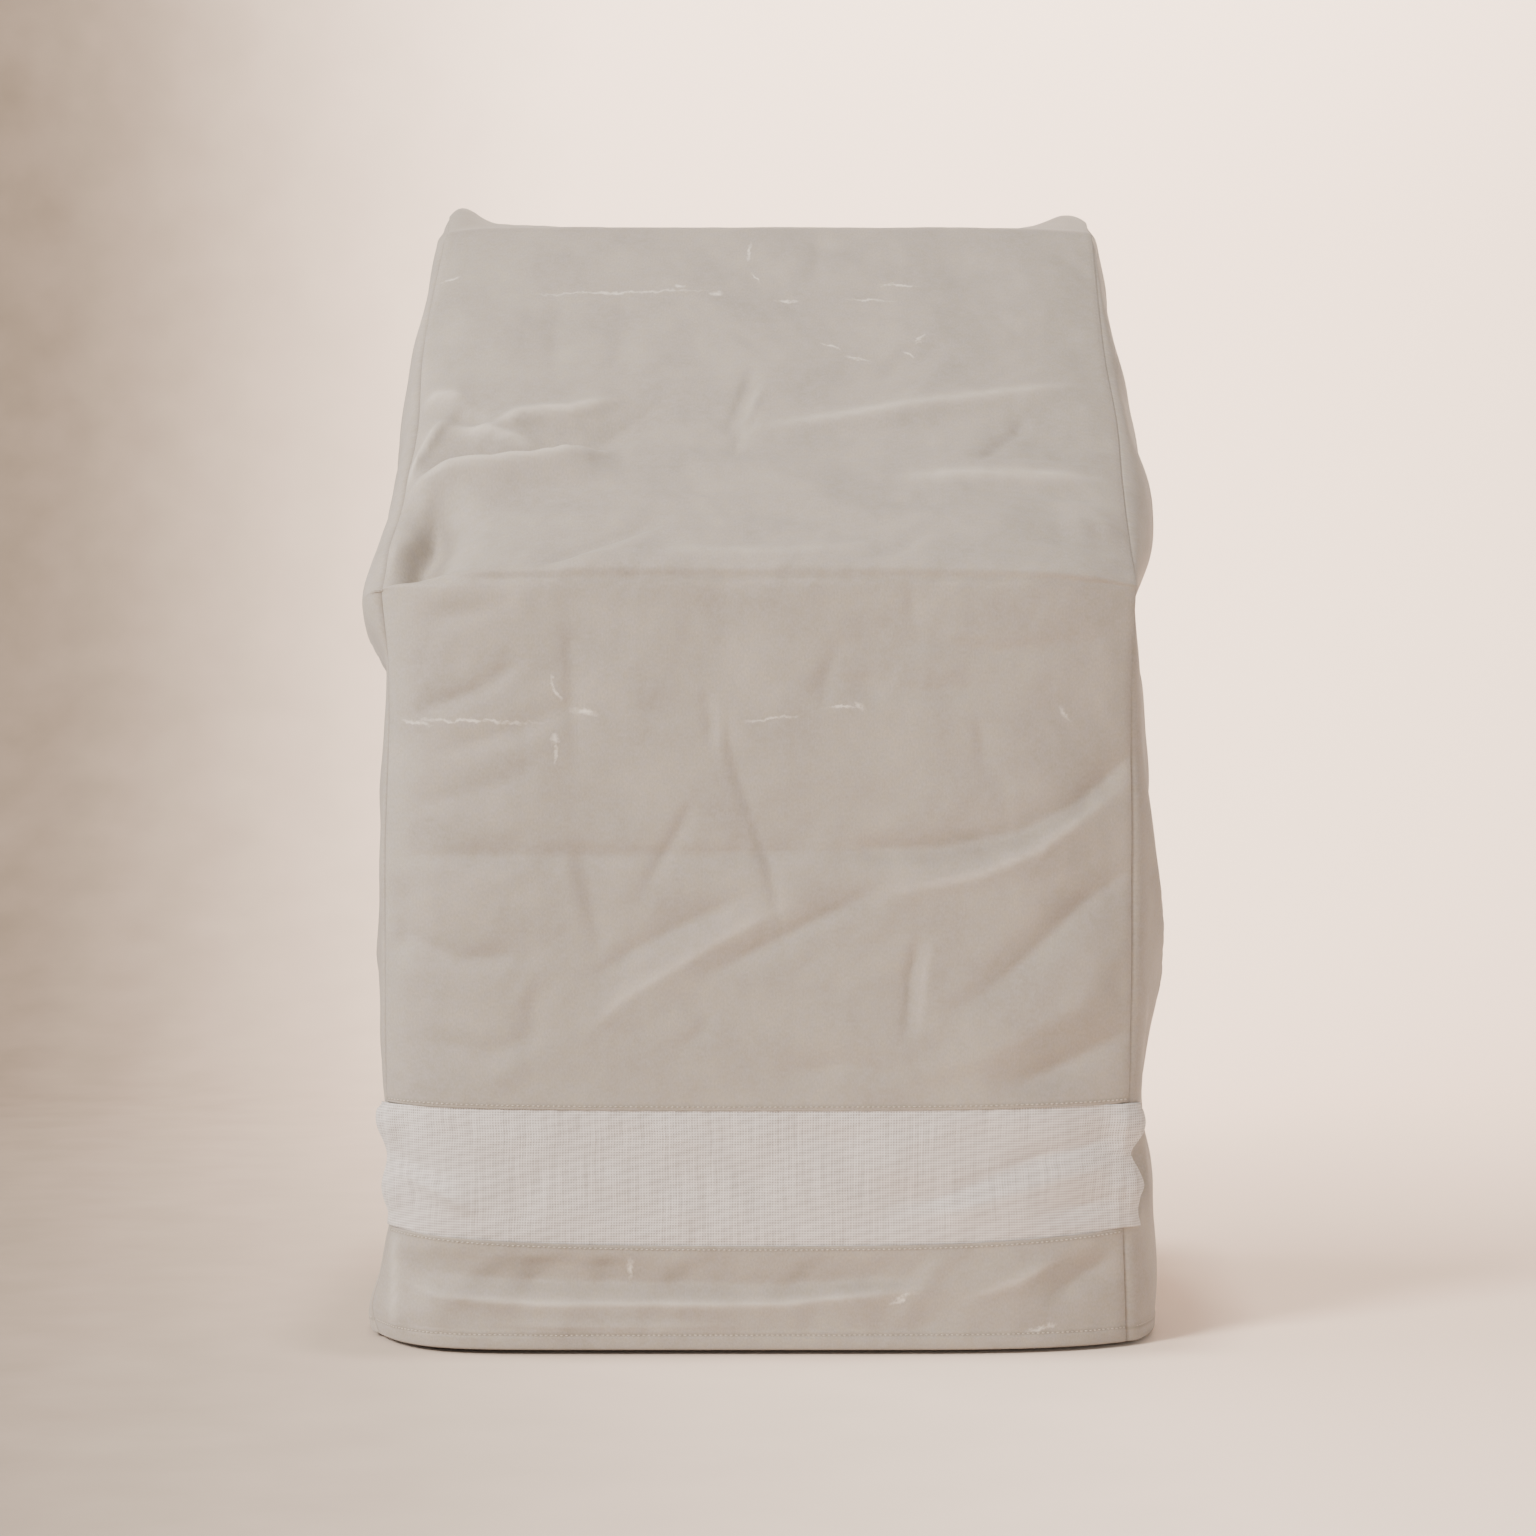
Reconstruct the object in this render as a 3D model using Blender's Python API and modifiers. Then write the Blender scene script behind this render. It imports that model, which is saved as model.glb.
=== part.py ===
"""Fitted cover for a high-back patio chair, sewn from coated canvas with a vent band of mesh.

Metres, +Z up, front face towards -Y. Each cloth piece is a flat grid that is bent onto
the shape of the filled cover and then given its thickness inwards.

The shape has two parts. The centre strip follows a side-view path: up the front, over the
arms, up the slope, across the top and down the back. The two side panels close it, each
drawn as straight rulings from the front seam to the back seam with an outward belly.
"""

import bpy
import bmesh
import numpy as np

# Sizes of the whole cover
CANVAS_THICKNESS = 0.0016
MESH_THICKNESS = 0.0012
SEAM_GAP = 0.0004
FRONT_INSET = 0.0026
REAR_INSET = 0.0032
TOP_INSET = 0.0024
BAND_STAND_OFF = 0.0030
ORIGIN_X = -0.00363
ORIGIN_DEPTH = 0.33050

# Centre line of the strip seen from the side: depth behind the front, height, length of bend
PATH_COLUMNS = ("place", "depth", "height", "bend")
PATH = (
    ("front hem", 0.000, 0.000, 0.000),
    ("front face", 0.000, 0.350, 0.100),
    ("arm ridge", 0.001, 0.703, 0.024),
    ("slope", 0.165, 0.830, 0.070),
    ("top ridge", 0.413, 1.070, 0.014),
    ("rear ridge", 0.602, 1.081, 0.028),
    ("rear hem", 0.660, 0.000, 0.000),
)

# Seams of the strip by height on the front: left and right edge across, depth lost at each
EDGE_COLUMNS = ("height", "left", "right", "left_drop", "right_drop")
EDGES = (
    (0.000, -0.356, 0.3235, 0.092, 0.046),
    (0.028, -0.363, 0.3230, 0.096, 0.045),
    (0.060, -0.354, 0.3220, 0.080, 0.044),
    (0.100, -0.344, 0.3205, 0.062, 0.043),
    (0.220, -0.345, 0.3255, 0.050, 0.040),
    (0.440, -0.346, 0.3280, 0.046, 0.038),
    (0.620, -0.343, 0.3280, 0.042, 0.036),
    (0.700, -0.349, 0.3320, 0.036, 0.032),
    (0.750, -0.345, 0.3300, 0.026, 0.026),
    (0.800, -0.337, 0.3300, 0.026, 0.020),
    (0.860, -0.333, 0.3320, 0.022, 0.018),
    (0.930, -0.336, 0.3275, 0.018, 0.016),
    (1.070, -0.3245, 0.3265, 0.010, 0.010),
)
REAR_EDGES = (
    (0.000, -0.352, 0.340, 0.040, 0.040),
    (0.500, -0.342, 0.336, 0.036, 0.036),
    (0.900, -0.338, 0.334, 0.026, 0.026),
    (1.081, -0.336, 0.335, 0.014, 0.014),
)
CORNER_POWERS = {"left": 10, "right": 5}

# Belly of the side panels by height: how far each stands out from its rulings
BELLY_COLUMNS = ("height", "left", "right")
BELLY = (
    (0.000, 0.018, 0.035),
    (0.030, 0.011, 0.037),
    (0.060, 0.006, 0.038),
    (0.110, 0.003, 0.036),
    (0.160, 0.003, 0.031),
    (0.210, 0.009, 0.024),
    (0.260, 0.014, 0.026),
    (0.330, 0.012, 0.032),
    (0.460, 0.016, 0.034),
    (0.560, 0.013, 0.025),
    (0.595, 0.011, 0.021),
    (0.625, 0.011, 0.017),
    (0.655, 0.028, 0.008),
    (0.675, 0.031, 0.001),
    (0.700, 0.028, 0.014),
    (0.730, 0.023, 0.028),
    (0.780, 0.023, 0.035),
    (0.850, 0.025, 0.027),
    (0.930, 0.018, 0.021),
    (1.070, 0.007, 0.003),
)
BELLY_PLACE = 0.28
BELLY_POWER = 0.50

# Seams of the mesh band across the front: height at the corners and in the sagging middle
BAND_TOP = (0.2210, 0.2175)
BAND_BOTTOM = (0.1080, 0.0970)

# Ends of the band lapped onto the side panels: length of the lap, its pleats and their spacing
LAP_COLUMNS = ("side", "lap", "pinch", "pinch_height", "pleat", "crest_height", "pitch")
LAPS = (
    ("left", 0.020, 0.000, 0.165, 0.0035, 0.2040, 0.061),
    ("right", 0.014, 0.009, 0.166, 0.0015, 0.1450, 0.055),
)
PINCH_REACH = 0.020

# Folds of the side panels, seen from the side: both ends by depth and height, half width, rise
SIDE_FOLD_COLUMNS = ("side", "depth0", "height0", "depth1", "height1", "width", "rise")
SIDE_FOLDS = (
    (1, 0.060, 0.168, 0.120, 0.150, 0.014, -0.0100),
    (1, 0.090, 0.540, 0.240, 0.330, 0.024, -0.0080),
    (1, 0.060, 0.440, 0.150, 0.300, 0.020, 0.0050),
    (1, 0.130, 0.650, 0.440, 0.560, 0.020, -0.0120),
    (1, 0.130, 0.610, 0.430, 0.500, 0.024, 0.0050),
    (1, 0.400, 0.960, 0.570, 0.700, 0.024, -0.0090),
    (1, 0.300, 0.860, 0.540, 0.640, 0.026, 0.0050),
    (1, 0.270, 0.470, 0.560, 0.160, 0.028, -0.0090),
    (1, 0.220, 0.220, 0.290, 0.000, 0.030, 0.0080),
    (1, 0.350, 0.240, 0.420, 0.000, 0.026, -0.0070),
    (-1, 0.130, 0.600, 0.440, 0.540, 0.020, -0.0120),
    (-1, 0.140, 0.560, 0.420, 0.470, 0.024, 0.0050),
    (-1, 0.110, 0.470, 0.330, 0.240, 0.026, -0.0080),
    (-1, 0.400, 0.930, 0.570, 0.660, 0.024, -0.0090),
    (-1, 0.280, 0.820, 0.520, 0.600, 0.026, 0.0050),
    (-1, 0.400, 0.400, 0.580, 0.120, 0.028, -0.0080),
    (-1, 0.300, 0.200, 0.360, 0.000, 0.030, 0.0080),
)

# Folds of the back, seen from behind: both ends across and up, half width, rise
REAR_FOLDS = (
    (-0.320, 0.980, -0.080, 0.640, 0.026, -0.0090),
    (-0.300, 0.900, -0.020, 0.560, 0.024, 0.0050),
    (0.320, 0.960, 0.110, 0.600, 0.026, -0.0090),
    (-0.260, 0.440, 0.220, 0.370, 0.030, -0.0070),
    (-0.210, 0.260, -0.160, 0.000, 0.032, 0.0090),
    (0.060, 0.300, 0.090, 0.000, 0.030, -0.0080),
    (0.200, 0.240, 0.230, 0.000, 0.030, 0.0080),
)

# Ears over the two back posts: rise of the rear edge and of the round tip above it
EAR_COLUMNS = ("side", "middle", "tip", "reach")
EARS = (
    ("left", -0.326, 0.019, 0.022),
    ("right", 0.317, 0.013, 0.029),
)
EAR_SLOPE = 0.018
EAR_SLOPE_REACH = 0.27
EAR_DOWN_BACK = 0.16

# Main folds of the front, seen from the front: both ends, half width and height
FOLD_COLUMNS = ("x0", "z0", "x1", "z1", "width", "rise")
FOLDS = (
    (-0.345, 0.790, -0.215, 0.803, 0.011, 0.0100),
    (-0.250, 0.802, -0.150, 0.815, 0.011, 0.0060),
    (-0.340, 0.822, -0.220, 0.822, 0.014, -0.0080),
    (-0.300, 0.846, -0.220, 0.836, 0.010, 0.0060),
    (-0.280, 0.868, -0.160, 0.860, 0.010, 0.0070),
    (-0.335, 0.885, -0.270, 0.876, 0.008, 0.0050),
    (-0.318, 0.862, -0.342, 0.800, 0.009, -0.0060),
    (-0.322, 0.712, -0.300, 0.745, 0.017, -0.0180),
    (-0.352, 0.735, -0.340, 0.765, 0.014, 0.0060),
    (-0.208, 0.708, -0.104, 0.750, 0.008, -0.0035),
    (-0.012, 0.905, -0.036, 0.812, 0.007, -0.0040),
    (-0.030, 0.850, 0.320, 0.896, 0.022, 0.0045),
    (0.190, 0.800, 0.325, 0.798, 0.012, 0.0050),
    (0.280, 0.770, 0.330, 0.775, 0.014, -0.0060),
    (-0.328, 0.446, 0.120, 0.448, 0.013, -0.0030),
    (0.310, 0.545, 0.180, 0.455, 0.018, -0.0070),
    (0.190, 0.458, -0.020, 0.449, 0.015, -0.0040),
    (0.330, 0.440, 0.225, 0.355, 0.018, -0.0065),
    (0.330, 0.490, 0.200, 0.405, 0.018, 0.0050),
    (0.330, 0.320, 0.200, 0.245, 0.022, -0.0060),
    (0.140, 0.420, -0.020, 0.355, 0.012, -0.0035),
    (0.133, 0.380, 0.122, 0.290, 0.006, -0.0030),
    (-0.052, 0.590, -0.010, 0.470, 0.008, -0.0025),
    (-0.335, 0.160, -0.270, 0.128, 0.009, 0.0060),
    (-0.340, 0.182, -0.300, 0.172, 0.009, -0.0050),
    (0.330, 0.180, 0.160, 0.135, 0.013, -0.0065),
    (0.335, 0.140, 0.290, 0.135, 0.009, 0.0060),
    (-0.320, 0.048, 0.140, 0.044, 0.009, 0.0045),
    (-0.310, 0.070, 0.150, 0.068, 0.010, -0.0045),
    (0.290, 0.062, 0.200, 0.036, 0.010, -0.0050),
)
FOLD_FADE = 0.3

# Grid of each panel: rows up each stretch of the path and columns across
FRONT_ROWS = 15
SLOPE_ROWS = 36
TOP_ROWS = 8
REAR_ROWS = 16
STRIP_COLUMNS = 24
SIDE_COLUMNS = 11
BAND_ROWS = 7
SKIRT_ROWS = 7
LAP_STEPS = 2

CANVAS_LOOK = ("coated_canvas", (0.480, 0.430, 0.370, 1.0), 0.72)
MESH_LOOK = ("vent_mesh", (0.600, 0.540, 0.500, 1.0), 0.85)
GUIDE_SPACING = 0.002
HEM_LEVEL = 0.0001


def column(table, names, name):
    """One named column of a table as an array."""
    return np.array([row[names.index(name)] for row in table], float)


def through(value, places, sizes):
    """Smooth curve through a table: cubic steps whose slope is the mean of both neighbours."""
    slope = np.gradient(sizes, places)
    index = np.clip(np.searchsorted(places, value) - 1, 0, len(places) - 2)
    span = places[index + 1] - places[index]
    part = np.clip((value - places[index]) / span, 0.0, 1.0)
    rise = sizes[index + 1] - sizes[index]
    start, end = slope[index] * span, slope[index + 1] * span
    turn = (start + end - 2 * rise) * part + (3 * rise - 2 * start - end)
    return sizes[index] + part * (start + part * turn)


def ramp(value, low, high):
    """0 below low, 1 above high, with a smooth step between."""
    part = np.clip((value - low) / (high - low), 0.0, 1.0)
    return part * part * (3 - 2 * part)


def side_view_path():
    """The strip's centre line as close points: straight runs joined by parabola bends."""
    depth = column(PATH, PATH_COLUMNS, "depth")
    height = column(PATH, PATH_COLUMNS, "height")
    corners = np.stack([depth, height], 1)
    points = [corners[:1]]
    for before, corner, after, row in zip(corners, corners[1:], corners[2:], PATH[1:]):
        bend = row[PATH_COLUMNS.index("bend")]
        start = corner + bend * (before - corner) / np.linalg.norm(before - corner)
        end = corner + bend * (after - corner) / np.linalg.norm(after - corner)
        part = np.linspace(0, 1, 25)[:, None]
        points.append((1 - part) ** 2 * start + 2 * part * (1 - part) * corner + part**2 * end)
    points.append(corners[-1:])
    points = np.concatenate(points)
    run = np.concatenate([[0], np.cumsum(np.linalg.norm(np.diff(points, axis=0), axis=1))])
    even = np.arange(0, run[-1] + GUIDE_SPACING, GUIDE_SPACING)
    even[-1] = run[-1]
    return even, np.interp(even, run, points[:, 0]), np.interp(even, run, points[:, 1])


RUN, PATH_DEPTH, PATH_HEIGHT = side_view_path()
TURN_DEPTH = np.gradient(PATH_DEPTH, RUN)
TURN_HEIGHT = np.gradient(PATH_HEIGHT, RUN)


def run_at(name):
    """Length along the path to the point nearest a named corner."""
    depth, height = next(row[1:3] for row in PATH if row[0] == name)
    return RUN[np.argmin((PATH_DEPTH - depth) ** 2 + (PATH_HEIGHT - height) ** 2)]


ARM_RUN = run_at("arm ridge")
TOP_RUN = run_at("top ridge")
REAR_RUN = run_at("rear ridge")
END_RUN = RUN[-1]


def edge_of(run, name):
    """Width or drop of the strip at a place along the path, from the front or the rear table."""
    height = np.interp(run, RUN, PATH_HEIGHT)
    front, rear = (
        through(height, column(table, EDGE_COLUMNS, "height"), column(table, EDGE_COLUMNS, name))
        for table in (EDGES, REAR_EDGES)
    )
    share = ramp(run, TOP_RUN, REAR_RUN)
    return front * (1 - share) + rear * share


def fold_relief(folds, x, z):
    """Height of the folds at points of a flat view: soft ridges along straight lines."""
    relief = np.zeros_like(x)
    for x0, z0, x1, z1, width, rise in folds:
        along, up = x1 - x0, z1 - z0
        length = np.hypot(along, up)
        part = ((x - x0) * along + (z - z0) * up) / length**2
        away = ((x - x0) * up - (z - z0) * along) / length
        past = np.clip(np.abs(part - 0.5) - 0.5, 0, None) * length
        ends = ramp(part, -0.02, FOLD_FADE) * ramp(1 - part, -0.02, FOLD_FADE)
        relief += rise * ends * np.exp(-(away**2 + past**2) / width**2)
    return relief


def ear_rise(x):
    """Rise of the rear edge towards the back posts, and the round tip over each."""
    rise = EAR_SLOPE * np.clip(np.abs(x) / EAR_SLOPE_REACH, 0, 1.15) ** 3
    for _, middle, tip, reach in EARS:
        rise += tip * np.exp(-(((x - middle) / reach) ** 2))
    return rise


def strip_point(run, share):
    """Point of the strip: share runs from -1 at the left seam to 1 at the right seam."""
    depth = np.interp(run, RUN, PATH_DEPTH)
    height = np.interp(run, RUN, PATH_HEIGHT)
    out_depth, out_height = -np.interp(run, RUN, TURN_HEIGHT), np.interp(run, RUN, TURN_DEPTH)
    right = share > 0
    edge = np.where(right, edge_of(run, "right"), -edge_of(run, "left"))
    drop = np.where(right, edge_of(run, "right_drop"), edge_of(run, "left_drop"))
    x = share * edge
    fall = drop * np.abs(share) ** np.where(right, CORNER_POWERS["right"], CORNER_POWERS["left"])
    on_front = ramp(TOP_RUN + 0.02 - run, 0, 0.04)
    on_rear = ramp(run - REAR_RUN - 0.02, 0, 0.04)
    fall -= on_front * fold_relief(FOLDS, x, height) + on_rear * fold_relief(REAR_FOLDS, x, height)
    depth, height = depth - fall * out_depth, height - fall * out_height
    over_top = ramp(run, TOP_RUN, REAR_RUN) * ramp(REAR_RUN + EAR_DOWN_BACK - run, 0, EAR_DOWN_BACK)
    return x, depth, height + over_top * ear_rise(x)


def ring_run(level):
    """Path lengths of the front and back seams at a level, 0 at the hem and 1 at the top."""
    return level * TOP_RUN, END_RUN - level * (END_RUN - REAR_RUN)


def side_point(level, share, side):
    """Point of a side panel: share runs from 0 at its front edge to 1 at its back edge."""
    front_run, rear_run = ring_run(level)
    edge = np.full_like(level, float(side))
    top, rear_ridge = np.full_like(level, TOP_RUN), np.full_like(level, REAR_RUN)
    front = np.stack(strip_point(front_run, edge))
    rear = np.stack(strip_point(rear_run, edge))
    front[1] += FRONT_INSET
    rear[1] -= REAR_INSET
    crown = np.stack(strip_point(TOP_RUN + share * (REAR_RUN - TOP_RUN), edge))
    corners = np.stack(strip_point(top, edge)), np.stack(strip_point(rear_ridge, edge))
    crest = crown - corners[0] * (1 - share) - corners[1] * share
    x, depth, height = front * (1 - share) + rear * share + level**6 * crest
    name = "right" if side > 0 else "left"
    heights, sizes = column(BELLY, BELLY_COLUMNS, "height"), column(BELLY, BELLY_COLUMNS, name)
    size = through(front[2], heights, sizes)
    fall_power = BELLY_POWER * (1 - BELLY_PLACE) / BELLY_PLACE
    belly = (share / BELLY_PLACE) ** BELLY_POWER * ((1 - share) / (1 - BELLY_PLACE)) ** fall_power
    folds = [row[1:] for row in SIDE_FOLDS if row[0] == side]
    folded = fold_relief(folds, depth, height) * ramp(share, 0, 0.06) * ramp(1 - share, 0, 0.1)
    return x + side * (size * belly + folded) * ramp(1 - level, 0.0, 0.02), depth, height


def panel(name, across, up, place, thickness, look, collection):
    """A flat grid laid on the function place(a, b), thickened inwards, with its hem cut level."""
    mesh = bpy.data.meshes.new(name)
    grid = bmesh.new()
    bmesh.ops.create_grid(grid, x_segments=across, y_segments=up, size=1.0)
    grid.to_mesh(mesh)
    grid.free()
    flat = np.empty(len(mesh.vertices) * 3)
    mesh.vertices.foreach_get("co", flat)
    a, b = (flat.reshape(-1, 3)[:, :2].T + 1) / 2
    x, depth, height = place(a, b)
    mesh.vertices.foreach_set("co", np.stack([x - ORIGIN_X, depth - ORIGIN_DEPTH, height], 1).ravel())
    mesh.update()
    sheet = bpy.data.objects.new(name + "_flat", mesh)
    collection.objects.link(sheet)
    shell = sheet.modifiers.new("thickness", "SOLIDIFY")
    shell.thickness = thickness
    shell.offset = -1
    thick = bpy.data.meshes.new_from_object(sheet.evaluated_get(bpy.context.evaluated_depsgraph_get()))
    bpy.data.objects.remove(sheet, do_unlink=True)
    thick.name = name
    points = np.empty(len(thick.vertices) * 3)
    thick.vertices.foreach_get("co", points)
    points = points.reshape(-1, 3)
    points[np.tile(height < HEM_LEVEL, 2), 2] = 0.0
    thick.vertices.foreach_set("co", points.ravel())
    thick.shade_smooth()
    thick.materials.append(look)
    collection.objects.link(bpy.data.objects.new(name, thick))


def finish(look):
    """A plain material with its colour and roughness."""
    name, colour, roughness = look
    material = bpy.data.materials.new(name)
    material.use_nodes = True
    surface = material.node_tree.nodes["Principled BSDF"]
    surface.inputs["Base Color"].default_value = colour
    surface.inputs["Roughness"].default_value = roughness
    surface.inputs["Metallic"].default_value = 0.0
    material.diffuse_color = colour
    return material


def sagging(heights, share):
    """Height of a band seam: lower in the middle of the front than at its corners."""
    corner, middle = heights
    return middle + (corner - middle) * np.clip(np.abs(share), 0, 1) ** 2.5


def front_run_at(height):
    """Path length on the front face at a height."""
    on_front = RUN < ARM_RUN
    return np.interp(height, PATH_HEIGHT[on_front], RUN[on_front])


def strip_rows():
    """Path lengths of the main strip's rows, above the band, close together on the slope."""
    stops = (
        (ARM_RUN - 0.025, FRONT_ROWS),
        (TOP_RUN + 0.02, SLOPE_ROWS),
        (REAR_RUN + 0.03, TOP_ROWS),
        (END_RUN, REAR_ROWS),
    )
    start, rows = front_run_at(BAND_TOP[1]), []
    for stop, count in stops:
        rows.append(np.linspace(start, stop, count, endpoint=False))
        start = stop
    return np.concatenate(rows + [[END_RUN]])


def build_main_strip(look, collection):
    """Front above the band, slope, top and back in one length of canvas."""
    rows = strip_rows()

    def place(a, b):
        share = np.sin((2 * a - 1) * np.pi / 2) * 0.35 + (2 * a - 1) * 0.65
        run = np.interp(b, np.linspace(0, 1, len(rows)), rows)
        low = front_run_at(sagging(BAND_TOP, share) + SEAM_GAP / 2)
        lift = (low - rows[0]) * ramp(ARM_RUN - run, 0.0, ARM_RUN - rows[0])
        return strip_point(run + lift, share)

    panel("main_panel", STRIP_COLUMNS, len(rows) - 1, place, CANVAS_THICKNESS, look, collection)


def build_side(side, look, collection):
    """One side panel, full height, set in behind the strip's edges."""
    name = "side_panel_right" if side > 0 else "side_panel_left"
    strip = strip_rows()
    low = np.linspace(0, strip[0], SKIRT_ROWS + BAND_ROWS, endpoint=False)
    levels = np.concatenate([low, strip[strip < TOP_RUN], [TOP_RUN]]) / TOP_RUN

    def place(a, b):
        level = np.interp(b, np.linspace(0, 1, len(levels)), levels)
        share = a if side > 0 else 1 - a
        share = share**1.6 / (share**1.6 + (1 - share) ** 1.1)
        x, depth, height = side_point(level, share, side)
        return x, depth, height - TOP_INSET * ramp(level, 0.97, 1.0)

    panel(name, SIDE_COLUMNS, len(levels) - 1, place, CANVAS_THICKNESS, look, collection)


def band_lap(side, height):
    """Length of a lap and how far its pleats stand out: a wave up the edge with one pinch."""
    _, lap, pinch, pinch_height, pleat, crest, pitch = LAPS[0] if side < 0 else LAPS[1]
    shorter = pinch * np.exp(-(((height - pinch_height) / PINCH_REACH) ** 2))
    wave = pleat * (1 + np.cos(2 * np.pi * (height - crest) / pitch))
    inside = ramp(height, BAND_BOTTOM[0], BAND_BOTTOM[0] + 0.02) * ramp(BAND_TOP[0] - height, 0, 0.008)
    return lap - shorter, wave * inside


def build_band(look, collection):
    """Mesh across the front, lapped a little onto each side panel and pleated there."""
    past_seam = np.arange(1, LAP_STEPS + 1) / LAP_STEPS
    middle = np.linspace(-1, 1, STRIP_COLUMNS + 1)
    turns = np.concatenate([-1 - past_seam[::-1], middle, 1 + past_seam])

    def place(a, b):
        share = np.interp(a, np.linspace(0, 1, len(turns)), turns)
        top = sagging(BAND_TOP, share) - SEAM_GAP / 2
        bottom = sagging(BAND_BOTTOM, share) + SEAM_GAP / 2
        run = front_run_at(bottom + b * (top - bottom))
        x, depth, height = strip_point(run, np.clip(share, -1, 1))
        for side in (-1, 1):
            lap, pleat = band_lap(side, height)
            here = share * side > 1
            past = (np.abs(share) - 1) * lap / (PATH_DEPTH[-1] - PATH_DEPTH[0])
            x[here], depth[here], _ = side_point(run[here] / TOP_RUN, past[here], side)
            turned = ramp(share * side, 0.86, 1.5) * np.radians(78)
            stand = BAND_STAND_OFF * ramp(share * side, 0.955, 1.0) + pleat * ramp(share * side, 0.93, 1.0)
            x += side * stand * np.sin(turned)
            depth -= stand * np.cos(turned)
        return x, depth, height

    panel("vent_band", len(turns) - 1, BAND_ROWS, place, MESH_THICKNESS, look, collection)


def build_skirt(look, collection):
    """Canvas below the band, down to the hem."""

    def place(a, b):
        share = 2 * a - 1
        top = sagging(BAND_BOTTOM, share) - SEAM_GAP / 2
        return strip_point(front_run_at(b * top), share)

    panel("front_skirt", STRIP_COLUMNS, SKIRT_ROWS, place, CANVAS_THICKNESS, look, collection)


def clear_scene():
    """Takes away whatever the scene holds."""
    for thing in list(bpy.data.objects):
        bpy.data.objects.remove(thing, do_unlink=True)


def main():
    """Builds the five cloth pieces of the cover."""
    clear_scene()
    cover = bpy.data.collections.new("patio_chair_cover")
    bpy.context.scene.collection.children.link(cover)
    canvas = finish(CANVAS_LOOK)
    mesh = finish(MESH_LOOK)
    build_main_strip(canvas, cover)
    for side in (-1, 1):
        build_side(side, canvas, cover)
    build_band(mesh, cover)
    build_skirt(canvas, cover)


main()
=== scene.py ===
"""Looks of a fitted cover for a high-back patio chair, in coated canvas with a vent band of mesh.

Metres, +Z up, front face towards -Y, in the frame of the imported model. Every cloth piece is a
grid worked out from the cover's form: a centre strip along a side-view path, up the front, over
the arms, up the slope, across the top and down the back, and two side panels as rulings from the
front seam to the back seam. Folds are added as soft or sharp ridges along lines in flat views.
"""

import logging
from dataclasses import dataclass
from enum import Enum
from typing import Callable

import bpy
import numpy as np
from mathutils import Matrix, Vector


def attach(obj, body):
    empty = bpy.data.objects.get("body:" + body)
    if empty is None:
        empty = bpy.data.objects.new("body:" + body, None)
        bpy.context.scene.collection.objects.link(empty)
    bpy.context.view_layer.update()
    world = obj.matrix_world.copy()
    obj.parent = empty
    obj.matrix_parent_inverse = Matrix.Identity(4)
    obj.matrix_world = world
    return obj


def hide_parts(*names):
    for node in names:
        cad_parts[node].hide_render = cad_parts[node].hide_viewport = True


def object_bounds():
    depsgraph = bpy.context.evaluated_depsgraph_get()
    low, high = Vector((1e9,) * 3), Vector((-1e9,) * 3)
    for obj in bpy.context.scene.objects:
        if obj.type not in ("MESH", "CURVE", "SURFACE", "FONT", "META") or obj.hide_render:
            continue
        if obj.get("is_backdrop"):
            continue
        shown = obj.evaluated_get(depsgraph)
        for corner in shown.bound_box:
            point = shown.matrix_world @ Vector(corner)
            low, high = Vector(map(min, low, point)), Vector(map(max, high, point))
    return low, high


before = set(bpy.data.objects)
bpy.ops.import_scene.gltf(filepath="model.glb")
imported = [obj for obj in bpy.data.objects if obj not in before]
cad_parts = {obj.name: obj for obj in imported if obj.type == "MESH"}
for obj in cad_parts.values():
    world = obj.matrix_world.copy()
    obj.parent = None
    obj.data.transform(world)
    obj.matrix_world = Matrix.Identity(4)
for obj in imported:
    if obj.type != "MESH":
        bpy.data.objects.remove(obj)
CAD_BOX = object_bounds()

ROOT = "root"
CLOTH_MAP = "cloth"
# name of the point attribute: crest paleness, partly rubbing and partly painted highlight, up to 1, and
# painted shade along stitched lines down to -1
RUB_AND_PAINTED_LIGHT = "crest"

CANVAS_THICKNESS = 0.0016
MESH_THICKNESS = 0.0012
HALF_WIDTH = 0.33  # of the front, from its middle to a corner seam
STITCH_INSET = 0.0034  # from a seam of the band to the stitches beside it
SEAM_GAP = 0.0002  # from the line of a band seam to each cloth's edge
STITCH_POINTS = 500  # read along the line of a row of stitches
STITCH_END = 0.995  # share of the front at which a row of stitches ends
BEND_FADE = 0.02  # length on either side of the top bends over which folds fade
CRUMPLE_WIDTH = 0.335  # half width of the strip that is crumpled
STREAKED = (0.700, 0.870)  # heights between which the slope has streaks
PUCKER = {"height": 0.0004, "length": 0.022, "reach": 0.009}  # of the puckers along stitches
RUB_HIGHLIGHT_REACH = 0.0028  # of the crest rubbing and painted highlight on either side of a sharp crest
RUB_HIGHLIGHT_RISE = (0.002, 0.008)  # rise of a crest that starts to get rubbing and painted highlight, and of one that gets them in full
RUB_HIGHLIGHT_ROUNDNESS = 0.35  # of the softest crest that gets rubbing and painted highlight
STITCH_SHADE_REACH = 0.0014  # half width of the painted shade along stitches
HEM_ROWS = np.array([0.0, 0.0015, 0.0035, 0.008, 0.012, 0.0145, 0.0165, 0.0185, 0.0205, 0.024])
BAND_ROWS = np.array([0.0, 0.0010, 0.0022, 0.0034, 0.0046, 0.0062])  # above the band's seam
CORNER_COLUMNS = np.array([0.0, 0.0007, 0.0016, 0.0028, 0.0045, 0.0070])  # from a corner seam

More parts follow.
